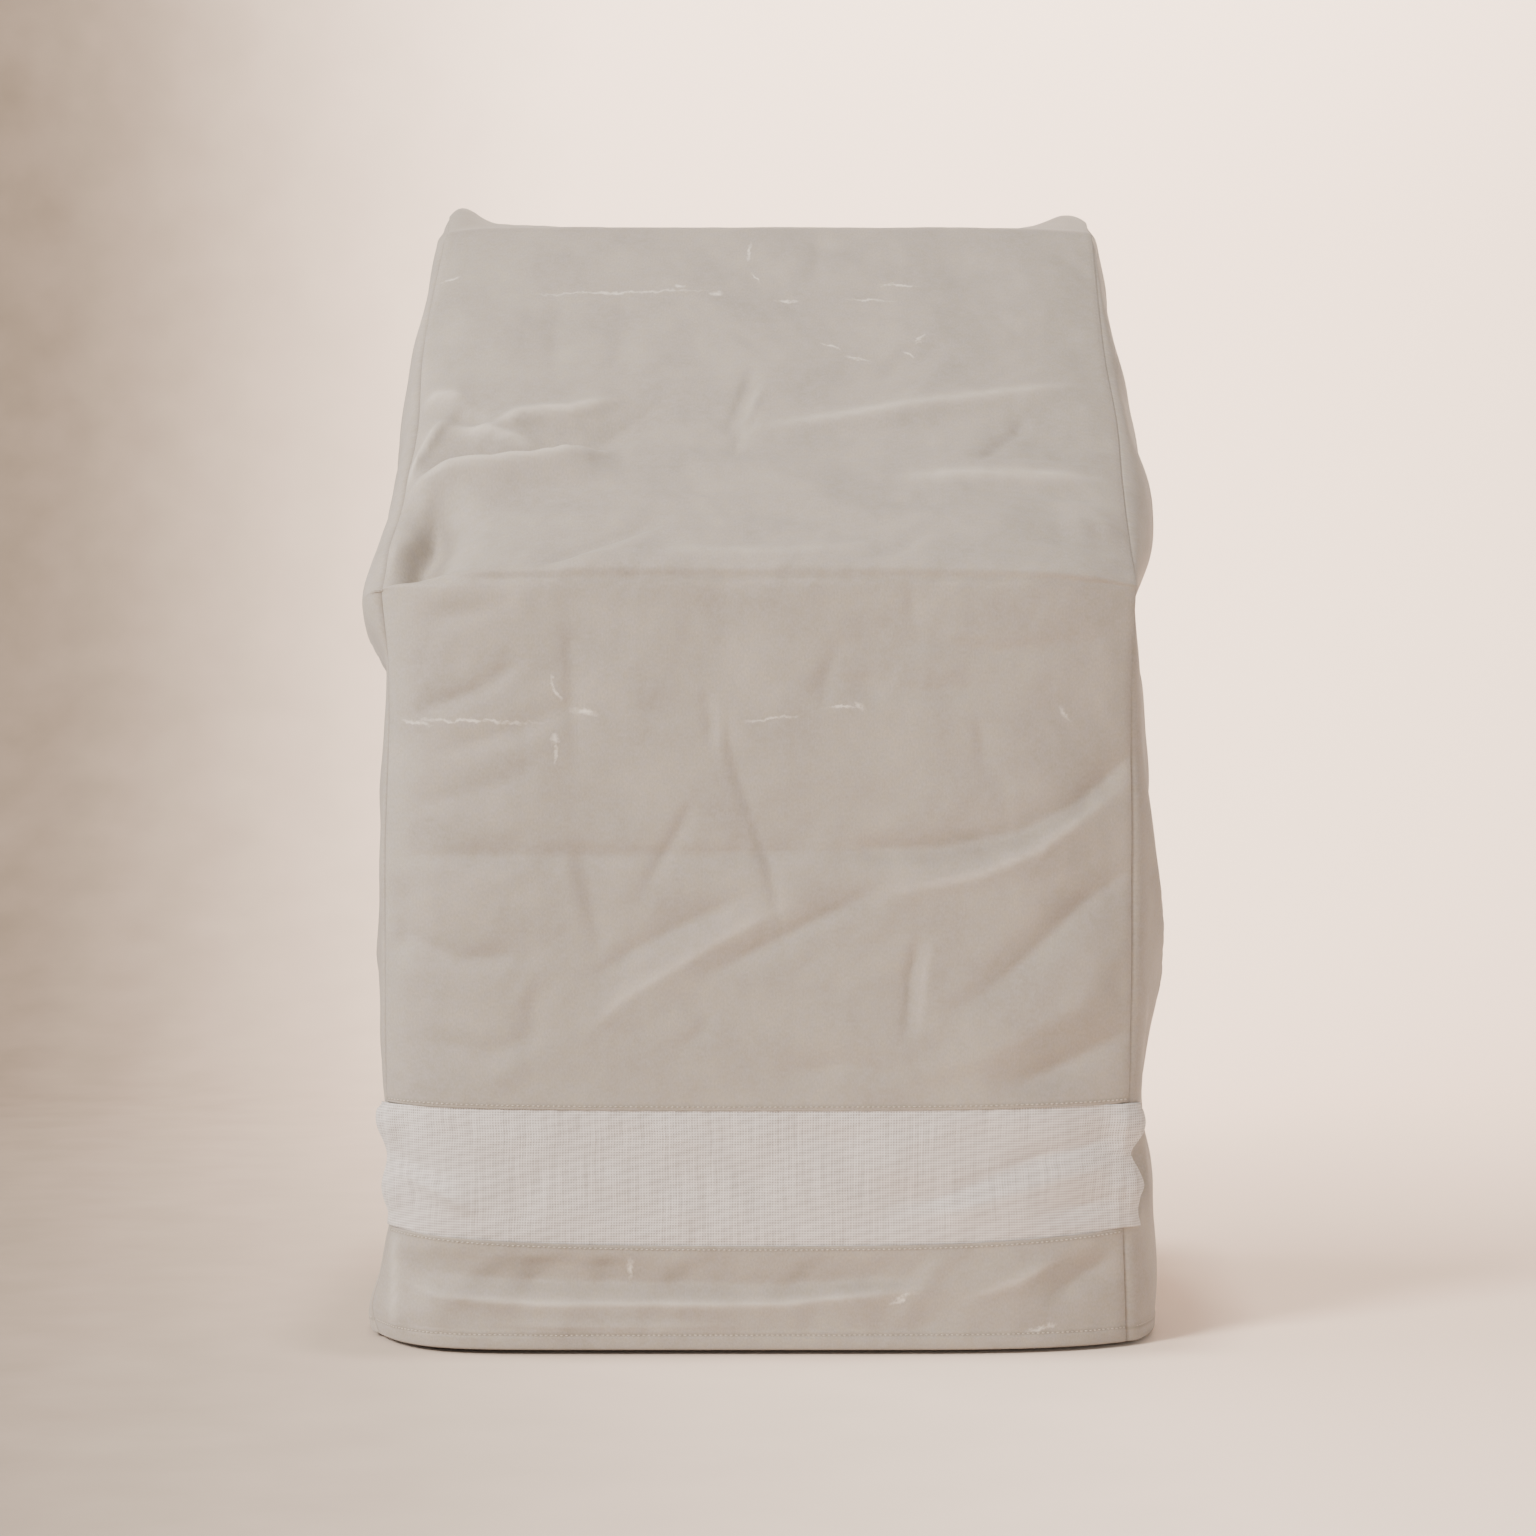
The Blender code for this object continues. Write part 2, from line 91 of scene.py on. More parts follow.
Array = np.ndarray
Place = Callable[[Array, Array], Array]
Look = bpy.types.Material
Mesh = bpy.types.Mesh
Piece = bpy.types.Object
Tree = bpy.types.NodeTree
Node = bpy.types.Node
Socket = bpy.types.NodeSocket
Source = Node | Socket
log = logging.getLogger("cover")


class Side(Enum):
    """The two sides of the cover, as seen from the front."""

    LEFT = -1
    RIGHT = 1


class Slot(Enum):
    """Material slots of the record."""

    CANVAS = "coated_canvas"
    MESH = "vent_mesh"


def ramp(value: Array, low: float, high: float) -> Array:
    """0 below low, 1 above high, with a smooth step between."""
    part = np.clip((value - low) / (high - low), 0.0, 1.0)
    return part * part * (3 - 2 * part)


def through(value: Array, places: Array, sizes: Array) -> Array:
    """Smooth curve through a table.

    Cubic steps between the rows, whose slope at each row is the mean of both neighbours.

    Args:
        value: where the curve is read.
        places: the rows' places, rising.
        sizes: the rows' sizes.

    Returns:
        The sizes at value.
    """
    slope = np.gradient(sizes, places)
    index = np.clip(np.searchsorted(places, value) - 1, 0, len(places) - 2)
    span = places[index + 1] - places[index]
    part = np.clip((value - places[index]) / span, 0.0, 1.0)
    rise = sizes[index + 1] - sizes[index]
    start, end = slope[index] * span, slope[index + 1] * span
    turn = (start + end - 2 * rise) * part + (3 * rise - 2 * start - end)
    return sizes[index] + part * (start + part * turn)


@dataclass(frozen=True)
class Fold:
    """One fold of the cloth, drawn as a line in a flat view.

    The height falls off as exp(-distance / width) on either side of the line. The crest is
    rounded: the distance used is sqrt(distance^2 + r^2) - r, where r is a share of the width.
    Both ends fade out over a part of the length.

    Attributes:
        line: points of the crest, across and up.
        above: width on the upper side of a line drawn left to right, or the left of one drawn up.
        below: width on the other side.
        rise: height of the crest, negative for a trough.
        roundness: radius of the crest as a share of the width.
        fade: part of the length over which each end fades.
    """

    line: tuple[tuple[float, float], ...]
    above: float
    below: float
    rise: float
    roundness: float = 0.5
    fade: float = 0.35

    def profile(self, x: Array, z: Array) -> Array:
        """Share of the crest's height at points of the flat view.

        Args:
            x: places across.
            z: places up.

        Returns:
            Values from 0 to 1.
        """
        nearest = np.full(x.shape, np.inf)
        below, along = np.zeros(x.shape, bool), np.zeros(x.shape)
        passed = 0.0
        for (x0, z0), (x1, z1) in zip(self.line, self.line[1:]):
            step_x, step_z = x1 - x0, z1 - z0
            size = np.hypot(step_x, step_z)
            part = np.clip(((x - x0) * step_x + (z - z0) * step_z) / size**2, 0, 1)
            away = np.hypot(x - x0 - part * step_x, z - z0 - part * step_z)
            nearer = away < nearest
            below = np.where(nearer, (x - x0) * step_z > (z - z0) * step_x, below)
            along = np.where(nearer, passed + part * size, along)
            nearest = np.minimum(nearest, away)
            passed += size
        width = np.where(below, self.below, self.above)
        rounding = self.roundness * width
        fall = np.exp(-(np.sqrt(nearest**2 + rounding**2) - rounding) / width)
        return fall * ramp(along, -0.02 * passed, self.fade * passed) * ramp(
            passed - along, -0.02 * passed, self.fade * passed
        )


@dataclass(frozen=True)
class Crumple:
    """Low unevenness of canvas that was packed folded, as a sum of slow and quicker plane waves.

    Attributes:
        seed: start of the random draws.
        height: spread of the heights.
        longest: longest wave.
        shortest: shortest wave.
        waves: number of waves.
    """

    seed: int
    height: float
    longest: float = 0.190
    shortest: float = 0.034
    waves: int = 26

    def relief(self, u: Array, v: Array) -> Array:
        """Heights at places of the flat cloth, in metres.

        Each wave has a random direction, length and phase, and a height that goes with its
        length. A slow bend of the places keeps the waves from running straight.

        Args:
            u: places across the cloth.
            v: places along the cloth.

        Returns:
            Heights around 0.
        """
        random = np.random.default_rng(self.seed)
        angle = random.uniform(0, np.pi, self.waves)
        share = random.uniform(0, 1, self.waves)
        length = self.longest * (self.shortest / self.longest) ** share
        phase = random.uniform(0, 2 * np.pi, self.waves)
        bent_u = u + 0.018 * np.sin(21 * v + 1.3) + 0.007 * np.sin(47 * v - 0.4)
        bent_v = v + 0.018 * np.sin(17 * u + 0.6) + 0.007 * np.sin(53 * u + 2.1)
        total = np.zeros_like(bent_u)
        for turn, size, start in zip(angle, length, phase):
            path = bent_u * np.cos(turn) + bent_v * np.sin(turn)
            total += size * np.sin(2 * np.pi * path / size + start)
        return self.height * total / np.sqrt((length**2).sum() / 2)


# Crumple of the canvas: all over, fine, streaks on the lower slope, below the band; of the mesh
PACKED = Crumple(11, 0.0010)
FINE = Crumple(5, 0.00022, 0.040, 0.014)
STREAKS = Crumple(17, 0.0009, 0.052, 0.018, 18)
SKIRT_CRUMPLE = Crumple(91, 0.0010, 0.12, 0.03)
MESH_CRUMPLE = Crumple(71, 0.0010, 0.12, 0.03)


def fold_heights(folds: tuple[Fold, ...], x: Array, z: Array) -> Array:
    """Height of a set of folds at points of their flat view."""
    return sum(fold.rise * fold.profile(x, z) for fold in folds)


# Folds of the slope above the arms, seen from the front
SLOPE_FOLDS = (
    Fold(((-0.3415, 0.782), (-0.3328, 0.791), (-0.324, 0.795), (-0.2975, 0.797), (-0.2606, 0.799),
         (-0.2146, 0.803), (-0.1689, 0.81), (-0.1376, 0.818)), 0.009, 0.012, 0.02, 0.12, 0.25),
    Fold(((-0.3415, 0.794), (-0.33, 0.813), (-0.319, 0.836), (-0.31, 0.851), (-0.3, 0.862)), 0.01, 0.006,
         0.012, 0.15),
    Fold(((-0.333, 0.882), (-0.3177, 0.886), (-0.2983, 0.882), (-0.2834, 0.877)), 0.01, 0.004, 0.006,
         0.2),
    Fold(((-0.304, 0.868), (-0.2816, 0.858), (-0.264, 0.852)), 0.006, 0.007, -0.007),
    Fold(((-0.275, 0.838), (-0.255, 0.847), (-0.231, 0.855), (-0.2098, 0.858), (-0.1862, 0.859),
         (-0.1667, 0.864), (-0.13, 0.877)), 0.011, 0.0045, 0.01, 0.2, 0.3),
    Fold(((-0.305, 0.852), (-0.2851, 0.847), (-0.2707, 0.843), (-0.2514, 0.838), (-0.21, 0.832)), 0.007,
         0.0045, 0.008, 0.2, 0.4),
    Fold(((-0.325, 0.808), (-0.27, 0.815), (-0.208, 0.824), (-0.157, 0.834), (-0.1, 0.848)), 0.016, 0.008,
         -0.016, 0.5, 0.3),
    Fold(((-0.29, 0.772), (-0.2, 0.778), (-0.11, 0.792)), 0.012, 0.022, -0.005),
    Fold(((-0.319, 0.688), (-0.315, 0.728), (-0.296, 0.796)), 0.015, 0.026, -0.038, 0.6, 0.35),
    Fold(((-0.3, 0.76), (-0.325, 0.754), (-0.3385, 0.741), (-0.35, 0.728)), 0.01, 0.012, 0.008),
    Fold(((-0.212, 0.706), (-0.199, 0.709), (-0.1512, 0.728), (-0.1067, 0.744), (-0.088, 0.751)), 0.006,
         0.004, -0.0058, 0.25, 0.3),
    Fold(((-0.2, 0.701), (-0.15, 0.714), (-0.09, 0.735)), 0.005, 0.01, 0.0038),
    Fold(((-0.011, 0.918), (-0.0125, 0.911), (-0.0266, 0.868), (-0.042, 0.832)), 0.005, 0.0035, -0.004,
         0.25, 0.45),
    Fold(((-0.003, 0.878), (-0.0057, 0.869), (-0.0216, 0.839), (-0.039, 0.802)), 0.0035, 0.006, -0.0045,
         0.25, 0.45),
    Fold(((-0.004, 0.895), (-0.017, 0.858), (-0.031, 0.818)), 0.005, 0.004, 0.0032, 0.25, 0.45),
    Fold(((-0.03, 0.841), (0.0019, 0.846), (0.125, 0.862), (0.2207, 0.879), (0.325, 0.902)), 0.02, 0.009,
         0.0062, 0.3),
    Fold(((-0.01, 0.828), (0.13, 0.838), (0.32, 0.862)), 0.014, 0.022, -0.0035),
    Fold(((0.11, 0.794), (0.2141, 0.796), (0.33, 0.801)), 0.014, 0.005, 0.006, 0.2),
    Fold(((0.16, 0.784), (0.25, 0.786), (0.332, 0.788)), 0.006, 0.012, -0.005),
    Fold(((0.26, 0.752), (0.3, 0.76), (0.332, 0.752)), 0.012, 0.012, 0.005),
    Fold(((0.19, 0.803), (0.1965, 0.809), (0.2471, 0.857), (0.252, 0.866)), 0.005, 0.006, -0.0036, 0.3),
    Fold(((-0.115, 0.719), (0.02, 0.716), (0.124, 0.728)), 0.005, 0.006, 0.0024, 0.25),
    Fold(((0.08, 0.712), (0.12, 0.72), (0.145, 0.73)), 0.004, 0.004, -0.0022),
    Fold(((-0.165, 0.838), (-0.12, 0.858), (-0.0935, 0.873)), 0.006, 0.007, -0.0048, 0.3),
    Fold(((-0.14, 0.9), (-0.1, 0.89), (-0.05, 0.893)), 0.01, 0.008, 0.0026),
    Fold(((-0.2066, 1.01), (-0.2066, 0.94), (-0.2, 0.884)), 0.012, 0.012, -0.0026),
    Fold(((-0.1436, 0.998), (-0.142, 0.94), (-0.15, 0.895)), 0.009, 0.009, -0.0024),
    Fold(((0.0515, 1.062), (0.05, 1.03), (0.048, 0.998)), 0.009, 0.009, -0.0028),
    Fold(((0.09, 0.895), (0.14, 0.912), (0.18, 0.94)), 0.008, 0.008, -0.0026),
    Fold(((0.22, 0.93), (0.28, 0.945), (0.32, 0.975)), 0.012, 0.012, -0.0024),
    Fold(((-0.33, 0.7005), (0.0, 0.7005), (0.33, 0.7005)), 0.004, 0.003, 0.0016, 0.4, 0.05),
    Fold(((-0.33, 0.694), (0.0, 0.694), (0.33, 0.694)), 0.003, 0.005, -0.0016, 0.4, 0.05),
)

# Folds of the upright front above the band, seen from the front
FRONT_FOLDS = (
    Fold(((0.0463, 0.4473), (0.1532, 0.45), (0.2245, 0.4633), (0.2779, 0.49), (0.3136, 0.5212),
         (0.34, 0.548)), 0.012, 0.008, -0.009, 0.4, 0.2),
    Fold(((-0.345, 0.444), (-0.114, 0.4435), (0.09, 0.4478)), 0.01, 0.005, -0.0042, 0.3, 0.2),
    Fold(((0.09, 0.408), (0.1888, 0.4277), (0.2423, 0.45), (0.3136, 0.5034), (0.335, 0.52)), 0.012, 0.01,
         0.005, 0.3),
    Fold(((0.1532, 0.2985), (0.1978, 0.3252), (0.2423, 0.3609), (0.2779, 0.3965), (0.3136, 0.4232),
         (0.34, 0.45)), 0.012, 0.01, -0.009, 0.4),
    Fold(((0.1176, 0.2451), (0.1888, 0.2629), (0.2779, 0.3074), (0.3136, 0.3609), (0.335, 0.395)), 0.018,
         0.014, 0.0045, 0.4),
    Fold(((0.185, 0.22), (0.2067, 0.2272), (0.2601, 0.254), (0.3136, 0.2807), (0.34, 0.305)), 0.012,
         0.012, -0.0085),
    Fold(((-0.0695, 0.3297), (-0.0249, 0.352), (0.0463, 0.3876), (0.1176, 0.4232)), 0.009, 0.006, -0.0056,
         0.3),
    Fold(((-0.1764, 0.2718), (-0.1318, 0.3163), (-0.0428, 0.3698), (0.0374, 0.4143)), 0.01, 0.01, 0.004,
         0.3),
    Fold(((-0.17, 0.328), (-0.114, 0.362), (-0.0517, 0.393), (0.0018, 0.417)), 0.009, 0.006, -0.0048,
         0.3),
    Fold(((0.136, 0.386), (0.1283, 0.3342), (0.1215, 0.27)), 0.004, 0.0035, -0.0042, 0.25, 0.4),
    Fold(((0.146, 0.38), (0.139, 0.3297), (0.133, 0.2752)), 0.009, 0.004, 0.0024, 0.3, 0.45),
    Fold(((-0.0383, 0.595), (-0.0345, 0.539), (-0.016, 0.4856), (0.0018, 0.4321), (0.0151, 0.355)), 0.006,
         0.004, -0.0036, 0.25, 0.3),
    Fold(((-0.0561, 0.602), (-0.052, 0.569), (-0.0499, 0.53)), 0.006, 0.004, -0.003, 0.3, 0.45),
    Fold(((-0.046, 0.59), (-0.042, 0.55), (-0.03, 0.505)), 0.005, 0.004, 0.002, 0.3, 0.45),
    Fold(((-0.056, 0.51), (-0.0784, 0.4678), (-0.1051, 0.4232), (-0.117, 0.392)), 0.005, 0.007, -0.0038,
         0.25, 0.4),
    Fold(((-0.17, 0.472), (-0.1586, 0.4143), (-0.144, 0.347)), 0.007, 0.01, -0.0036),
    Fold(((-0.183, 0.46), (-0.173, 0.41), (-0.162, 0.36)), 0.006, 0.008, 0.0024),
    Fold(((-0.2056, 0.345), (-0.212, 0.26)), 0.008, 0.009, -0.0034, 0.5, 0.45),
    Fold(((-0.105, 0.319), (-0.0739, 0.3163), (-0.0534, 0.3021), (-0.0606, 0.2852), (-0.09, 0.265)),
         0.005, 0.007, -0.003, 0.3),
    Fold(((-0.34, 0.378), (-0.2744, 0.352), (-0.2031, 0.3565)), 0.01, 0.007, -0.0048),
    Fold(((-0.335, 0.566), (-0.2566, 0.5925), (-0.205, 0.629)), 0.009, 0.006, -0.0044, 0.35),
    Fold(((-0.32, 0.528), (-0.22, 0.558), (-0.15, 0.59)), 0.01, 0.008, -0.003),
    Fold(((-0.33, 0.485), (-0.25, 0.505), (-0.19, 0.535)), 0.01, 0.008, -0.0026),
    Fold(((0.1265, 0.695), (0.1309, 0.645)), 0.005, 0.005, -0.0017, 0.3, 0.45),
    Fold(((0.07, 0.652), (0.0552, 0.6103), (0.044, 0.56)), 0.006, 0.007, -0.0022, 0.4, 0.45),
    Fold(((0.188, 0.572), (0.194, 0.515)), 0.005, 0.005, -0.0022, 0.3, 0.45),
    Fold(((0.1, 0.639), (0.2067, 0.627), (0.33, 0.643)), 0.008, 0.006, -0.0034),
    Fold(((0.02, 0.605), (0.12, 0.59), (0.23, 0.6)), 0.009, 0.008, -0.0026),
    Fold(((-0.338, 0.43), (-0.325, 0.39), (-0.332, 0.34)), 0.01, 0.01, -0.0044),
    Fold(((-0.18, 0.69), (-0.175, 0.59), (-0.17, 0.5)), 0.009, 0.005, -0.0028, 0.35),
    Fold(((-0.335, 0.285), (-0.25, 0.27), (-0.17, 0.295)), 0.012, 0.012, -0.003),
    Fold(((0.0, 0.245), (0.07, 0.26), (0.13, 0.245)), 0.01, 0.008, -0.0034),
    Fold(((-0.32, 0.656), (-0.26, 0.662), (-0.22, 0.674)), 0.008, 0.008, -0.0026),
)

# Folds of the mesh band, then of the canvas below it, seen from the front
BAND_FOLDS = (
    Fold(((-0.345, 0.162), (-0.3065, 0.15), (-0.2762, 0.1346), (-0.25, 0.118)), 0.008, 0.006, 0.0062,
         0.35),
    Fold(((-0.345, 0.178), (-0.312, 0.166), (-0.275, 0.148)), 0.008, 0.007, -0.0055),
    Fold(((0.09, 0.125), (0.1532, 0.138), (0.1978, 0.156), (0.2423, 0.1735), (0.3046, 0.1872),
         (0.345, 0.196)), 0.01, 0.007, -0.0085, 0.4),
    Fold(((0.12, 0.118), (0.2, 0.138), (0.26, 0.156), (0.33, 0.168)), 0.008, 0.01, 0.005, 0.35),
    Fold(((0.24, 0.12), (0.29, 0.132), (0.34, 0.136)), 0.008, 0.01, -0.004),
    Fold(((-0.2, 0.185), (-0.05, 0.16), (0.08, 0.17)), 0.016, 0.016, -0.0022),
)
SKIRT_FOLDS = (
    Fold(((-0.34, 0.06), (-0.29, 0.052), (-0.2031, 0.0463), (0.0107, 0.0463), (0.0998, 0.056),
         (0.16, 0.06)), 0.005, 0.01, 0.0062, 0.25, 0.15),
    Fold(((-0.32, 0.073), (-0.2, 0.064), (0.02, 0.062), (0.15, 0.07)), 0.014, 0.007, -0.007, 0.5, 0.15),
    Fold(((-0.212, 0.09), (-0.2067, 0.054)), 0.01, 0.012, -0.004),
    Fold(((-0.146, 0.09), (-0.1416, 0.054)), 0.009, 0.012, -0.0042),
    Fold(((-0.26, 0.029), (-0.15, 0.025), (0.0, 0.0265)), 0.005, 0.007, 0.0022, 0.3),
    Fold(((0.32, 0.09), (0.2957, 0.0758), (0.2423, 0.0402)), 0.01, 0.01, -0.007),
    Fold(((0.27, 0.09), (0.22, 0.064), (0.17, 0.048)), 0.01, 0.01, 0.0042, 0.35),
    Fold(((-0.3395, 0.006), (-0.3385, 0.112)), 0.004, 0.012, 0.005, 0.15, 0.12),
    Fold(((-0.32, 0.095), (-0.315, 0.035)), 0.01, 0.014, -0.004),
)

# Folds of the side panels, seen from the side as depth and height, and of the back from behind
SIDE_FOLDS = {
    Side.RIGHT: (
        Fold(((0.04, 0.19), (0.062, 0.168), (0.11, 0.148)), 0.016, 0.014, -0.022, 0.8, 0.3),
        Fold(((0.05, 0.14), (0.07, 0.12)), 0.008, 0.01, -0.01, 0.4, 0.2),
        Fold(((0.06, 0.56), (0.15, 0.45), (0.27, 0.29)), 0.024, 0.018, -0.01),
        Fold(((0.06, 0.48), (0.12, 0.37), (0.19, 0.26)), 0.014, 0.018, 0.006, 0.3),
        Fold(((0.1, 0.66), (0.26, 0.61), (0.47, 0.55)), 0.016, 0.02, -0.013),
        Fold(((0.11, 0.615), (0.26, 0.56), (0.45, 0.49)), 0.016, 0.02, 0.006, 0.3),
        Fold(((0.38, 0.98), (0.48, 0.83), (0.59, 0.66)), 0.02, 0.02, -0.01),
        Fold(((0.28, 0.88), (0.4, 0.74), (0.56, 0.62)), 0.02, 0.016, 0.006, 0.3),
        Fold(((0.25, 0.49), (0.4, 0.32), (0.58, 0.14)), 0.022, 0.02, -0.01),
        Fold(((0.22, 0.24), (0.25, 0.12), (0.29, -0.02)), 0.024, 0.024, 0.0085, 0.6),
        Fold(((0.35, 0.26), (0.38, 0.12), (0.42, -0.02)), 0.02, 0.02, -0.0075),
        Fold(((0.48, 0.22), (0.51, 0.1), (0.53, -0.02)), 0.02, 0.02, 0.006, 0.6),
        Fold(((0.06, 0.33), (0.14, 0.24), (0.2, 0.13)), 0.012, 0.014, -0.005),
    ),
    Side.LEFT: (
        Fold(((0.1, 0.62), (0.25, 0.58), (0.46, 0.53)), 0.016, 0.02, -0.013),
        Fold(((0.11, 0.575), (0.26, 0.53), (0.44, 0.46)), 0.016, 0.02, 0.006, 0.3),
        Fold(((0.08, 0.5), (0.21, 0.37), (0.35, 0.21)), 0.022, 0.018, -0.0095),
        Fold(((0.08, 0.42), (0.16, 0.31), (0.25, 0.19)), 0.014, 0.018, 0.0055, 0.3),
        Fold(((0.38, 0.95), (0.48, 0.8), (0.59, 0.63)), 0.02, 0.02, -0.01),
        Fold(((0.26, 0.84), (0.38, 0.71), (0.54, 0.58)), 0.02, 0.016, 0.006, 0.3),
        Fold(((0.38, 0.42), (0.48, 0.28), (0.6, 0.1)), 0.022, 0.02, -0.0095),
        Fold(((0.3, 0.22), (0.33, 0.11), (0.36, -0.02)), 0.024, 0.024, 0.0085, 0.6),
        Fold(((0.43, 0.24), (0.47, 0.11), (0.49, -0.02)), 0.02, 0.02, -0.0065),
        Fold(((0.16, 0.2), (0.19, 0.1), (0.2, -0.02)), 0.018, 0.018, -0.006),
        Fold(((0.13, 0.76), (0.21, 0.73), (0.3, 0.7)), 0.012, 0.014, -0.005),
    ),
}
REAR_FOLDS = (
    Fold(((-0.33, 0.99), (-0.21, 0.8), (-0.06, 0.62)), 0.022, 0.02, -0.011),
    Fold(((-0.31, 0.9), (-0.17, 0.72), (-0.01, 0.54)), 0.018, 0.02, 0.0065, 0.3),
    Fold(((0.33, 0.97), (0.23, 0.78), (0.1, 0.58)), 0.02, 0.022, -0.011),
    Fold(((0.31, 0.86), (0.2, 0.69), (0.06, 0.52)), 0.02, 0.018, 0.006, 0.3),
    Fold(((-0.29, 0.45), (0.0, 0.4), (0.26, 0.36)), 0.02, 0.024, -0.0085),
    Fold(((-0.25, 0.4), (0.02, 0.35), (0.24, 0.3)), 0.02, 0.018, 0.0045, 0.3),
    Fold(((-0.22, 0.28), (-0.18, 0.12), (-0.16, -0.02)), 0.026, 0.026, 0.0095, 0.6),
    Fold(((0.05, 0.31), (0.075, 0.13), (0.09, -0.02)), 0.024, 0.024, -0.0085),
    Fold(((0.19, 0.26), (0.22, 0.11), (0.235, -0.02)), 0.024, 0.024, 0.0085, 0.6),
    Fold(((-0.08, 0.24), (-0.05, 0.1), (-0.04, -0.02)), 0.02, 0.02, -0.006),
    Fold(((-0.12, 1.04), (0.0, 1.0), (0.13, 1.03)), 0.02, 0.022, -0.006),
)


@dataclass(frozen=True)
class CoverForm:
    """The shape that all five cloths share, worked out from tables of the whole cover.

    Attributes:
        origin_x: place across of the frame's origin.
        origin_depth: depth behind the front of the frame's origin.
        path: side view of the strip, as depth, height and length of bend.
        front_edges: seams by height, as left and right place and what each corner falls back.
        rear_edges: the same for the back.
        corner_powers: how tightly the left and the right corner turn.
        belly: height, and how far the left and right panels stand out.
        band_top: height of the band's upper seam at the corners and in the middle.
        band_bottom: the same for its lower seam.
        band_pucker: height of the upper row of puckers.
        belly_place: share of the way back at which a side panel stands out most.
        belly_power: power of the rise from the front seam to there.
        front_inset: how far a side panel starts behind the strip's front edge.
        rear_inset: how far it ends before the strip's rear edge.
        top_inset: how far it ends under the strip's top.
        ears: middle, rise and reach of the round tips over the back posts.
        ear_slope: rise of the rear edge towards the posts.
        ear_slope_reach: place across at which that rise is reached.
        ear_down_back: length down the back over which the tips fade.
        roll_reach: distance from a seam over which an edge rolls in.
        roll_depth: how far it rolls in.
        fold_gain: how much higher the front's folds are drawn than their tables say.
        side_bend: reach over which the side panels soften the strip's bends.
        hem_gap: how far the front hem stands off the floor.
        hem_gap_fade: depth from which the hem is on the floor, and the length of its way there.
        hem_height: height of the hem's stitches.
        hem_step: how far the doubled hem stands out.
        hem_groove: depth and half width of the groove along the hem's stitches.
        hem_edge: the same for the rounding of its lower edge.
    """

    origin_x: float = -0.00363
    origin_depth: float = 0.33050
    path: tuple = (
        (0.000, 0.000, 0.000),
        (0.000, 0.350, 0.100),
        (0.001, 0.703, 0.020),
        (0.165, 0.830, 0.070),
        (0.413, 1.070, 0.011),
        (0.602, 1.081, 0.026),
        (0.660, 0.000, 0.000),
    )
    front_edges: tuple = (
        (0.000, -0.356, 0.3235, 0.092, 0.046),
        (0.028, -0.363, 0.3230, 0.096, 0.045),
        (0.060, -0.354, 0.3220, 0.080, 0.044),
        (0.100, -0.344, 0.3205, 0.062, 0.043),
        (0.220, -0.345, 0.3255, 0.050, 0.040),
        (0.440, -0.346, 0.3280, 0.046, 0.038),
        (0.620, -0.343, 0.3280, 0.042, 0.036),
        (0.700, -0.349, 0.3320, 0.036, 0.032),
        (0.750, -0.345, 0.3300, 0.026, 0.026),
        (0.800, -0.337, 0.3300, 0.026, 0.020),
        (0.860, -0.333, 0.3320, 0.022, 0.018),
        (0.930, -0.336, 0.3275, 0.018, 0.016),
        (1.070, -0.3245, 0.3265, 0.005, 0.005),
    )
    rear_edges: tuple = (
        (0.000, -0.352, 0.340, 0.040, 0.040),
        (0.500, -0.342, 0.336, 0.036, 0.036),
        (0.900, -0.338, 0.334, 0.026, 0.026),
        (1.081, -0.336, 0.335, 0.014, 0.014),
    )
    corner_powers: tuple = (10, 5)
    belly: tuple = (
        (0.000, 0.018, 0.035),
        (0.030, 0.011, 0.037),
        (0.060, 0.006, 0.038),
        (0.110, 0.003, 0.036),
        (0.160, 0.003, 0.031),
        (0.210, 0.009, 0.024),
        (0.260, 0.014, 0.026),
        (0.330, 0.012, 0.032),
        (0.460, 0.016, 0.034),
        (0.560, 0.013, 0.025),
        (0.595, 0.011, 0.021),
        (0.625, 0.011, 0.017),
        (0.655, 0.028, 0.008),
        (0.675, 0.031, 0.001),
        (0.700, 0.028, 0.014),
        (0.730, 0.023, 0.028),
        (0.780, 0.023, 0.035),
        (0.850, 0.025, 0.027),
        (0.930, 0.018, 0.021),
        (1.070, 0.007, 0.003),
    )
    belly_place: float = 0.28
    belly_power: float = 0.50
    front_inset: float = 0.0026
    rear_inset: float = 0.0032
    top_inset: float = 0.0024
    band_top: tuple = (0.2210, 0.2175)
    band_bottom: tuple = (0.1080, 0.0970)
    band_pucker: float = 0.2185
    ears: tuple = ((-0.326, 0.019, 0.022), (0.317, 0.013, 0.029), (-0.215, 0.005, 0.045))
    ear_slope: float = 0.018
    ear_slope_reach: float = 0.27
    ear_down_back: float = 0.16
    roll_reach: float = 0.0028
    roll_depth: float = 0.0010
    fold_gain: float = 1.22
    side_bend: float = 0.045
    hem_gap: float = 0.0045
    hem_gap_fade: tuple = (0.30, 0.25)
    hem_height: float = 0.0165
    hem_step: float = 0.0013
    hem_groove: tuple = (0.0014, 0.0016)
    hem_edge: tuple = (0.0012, 0.0015)

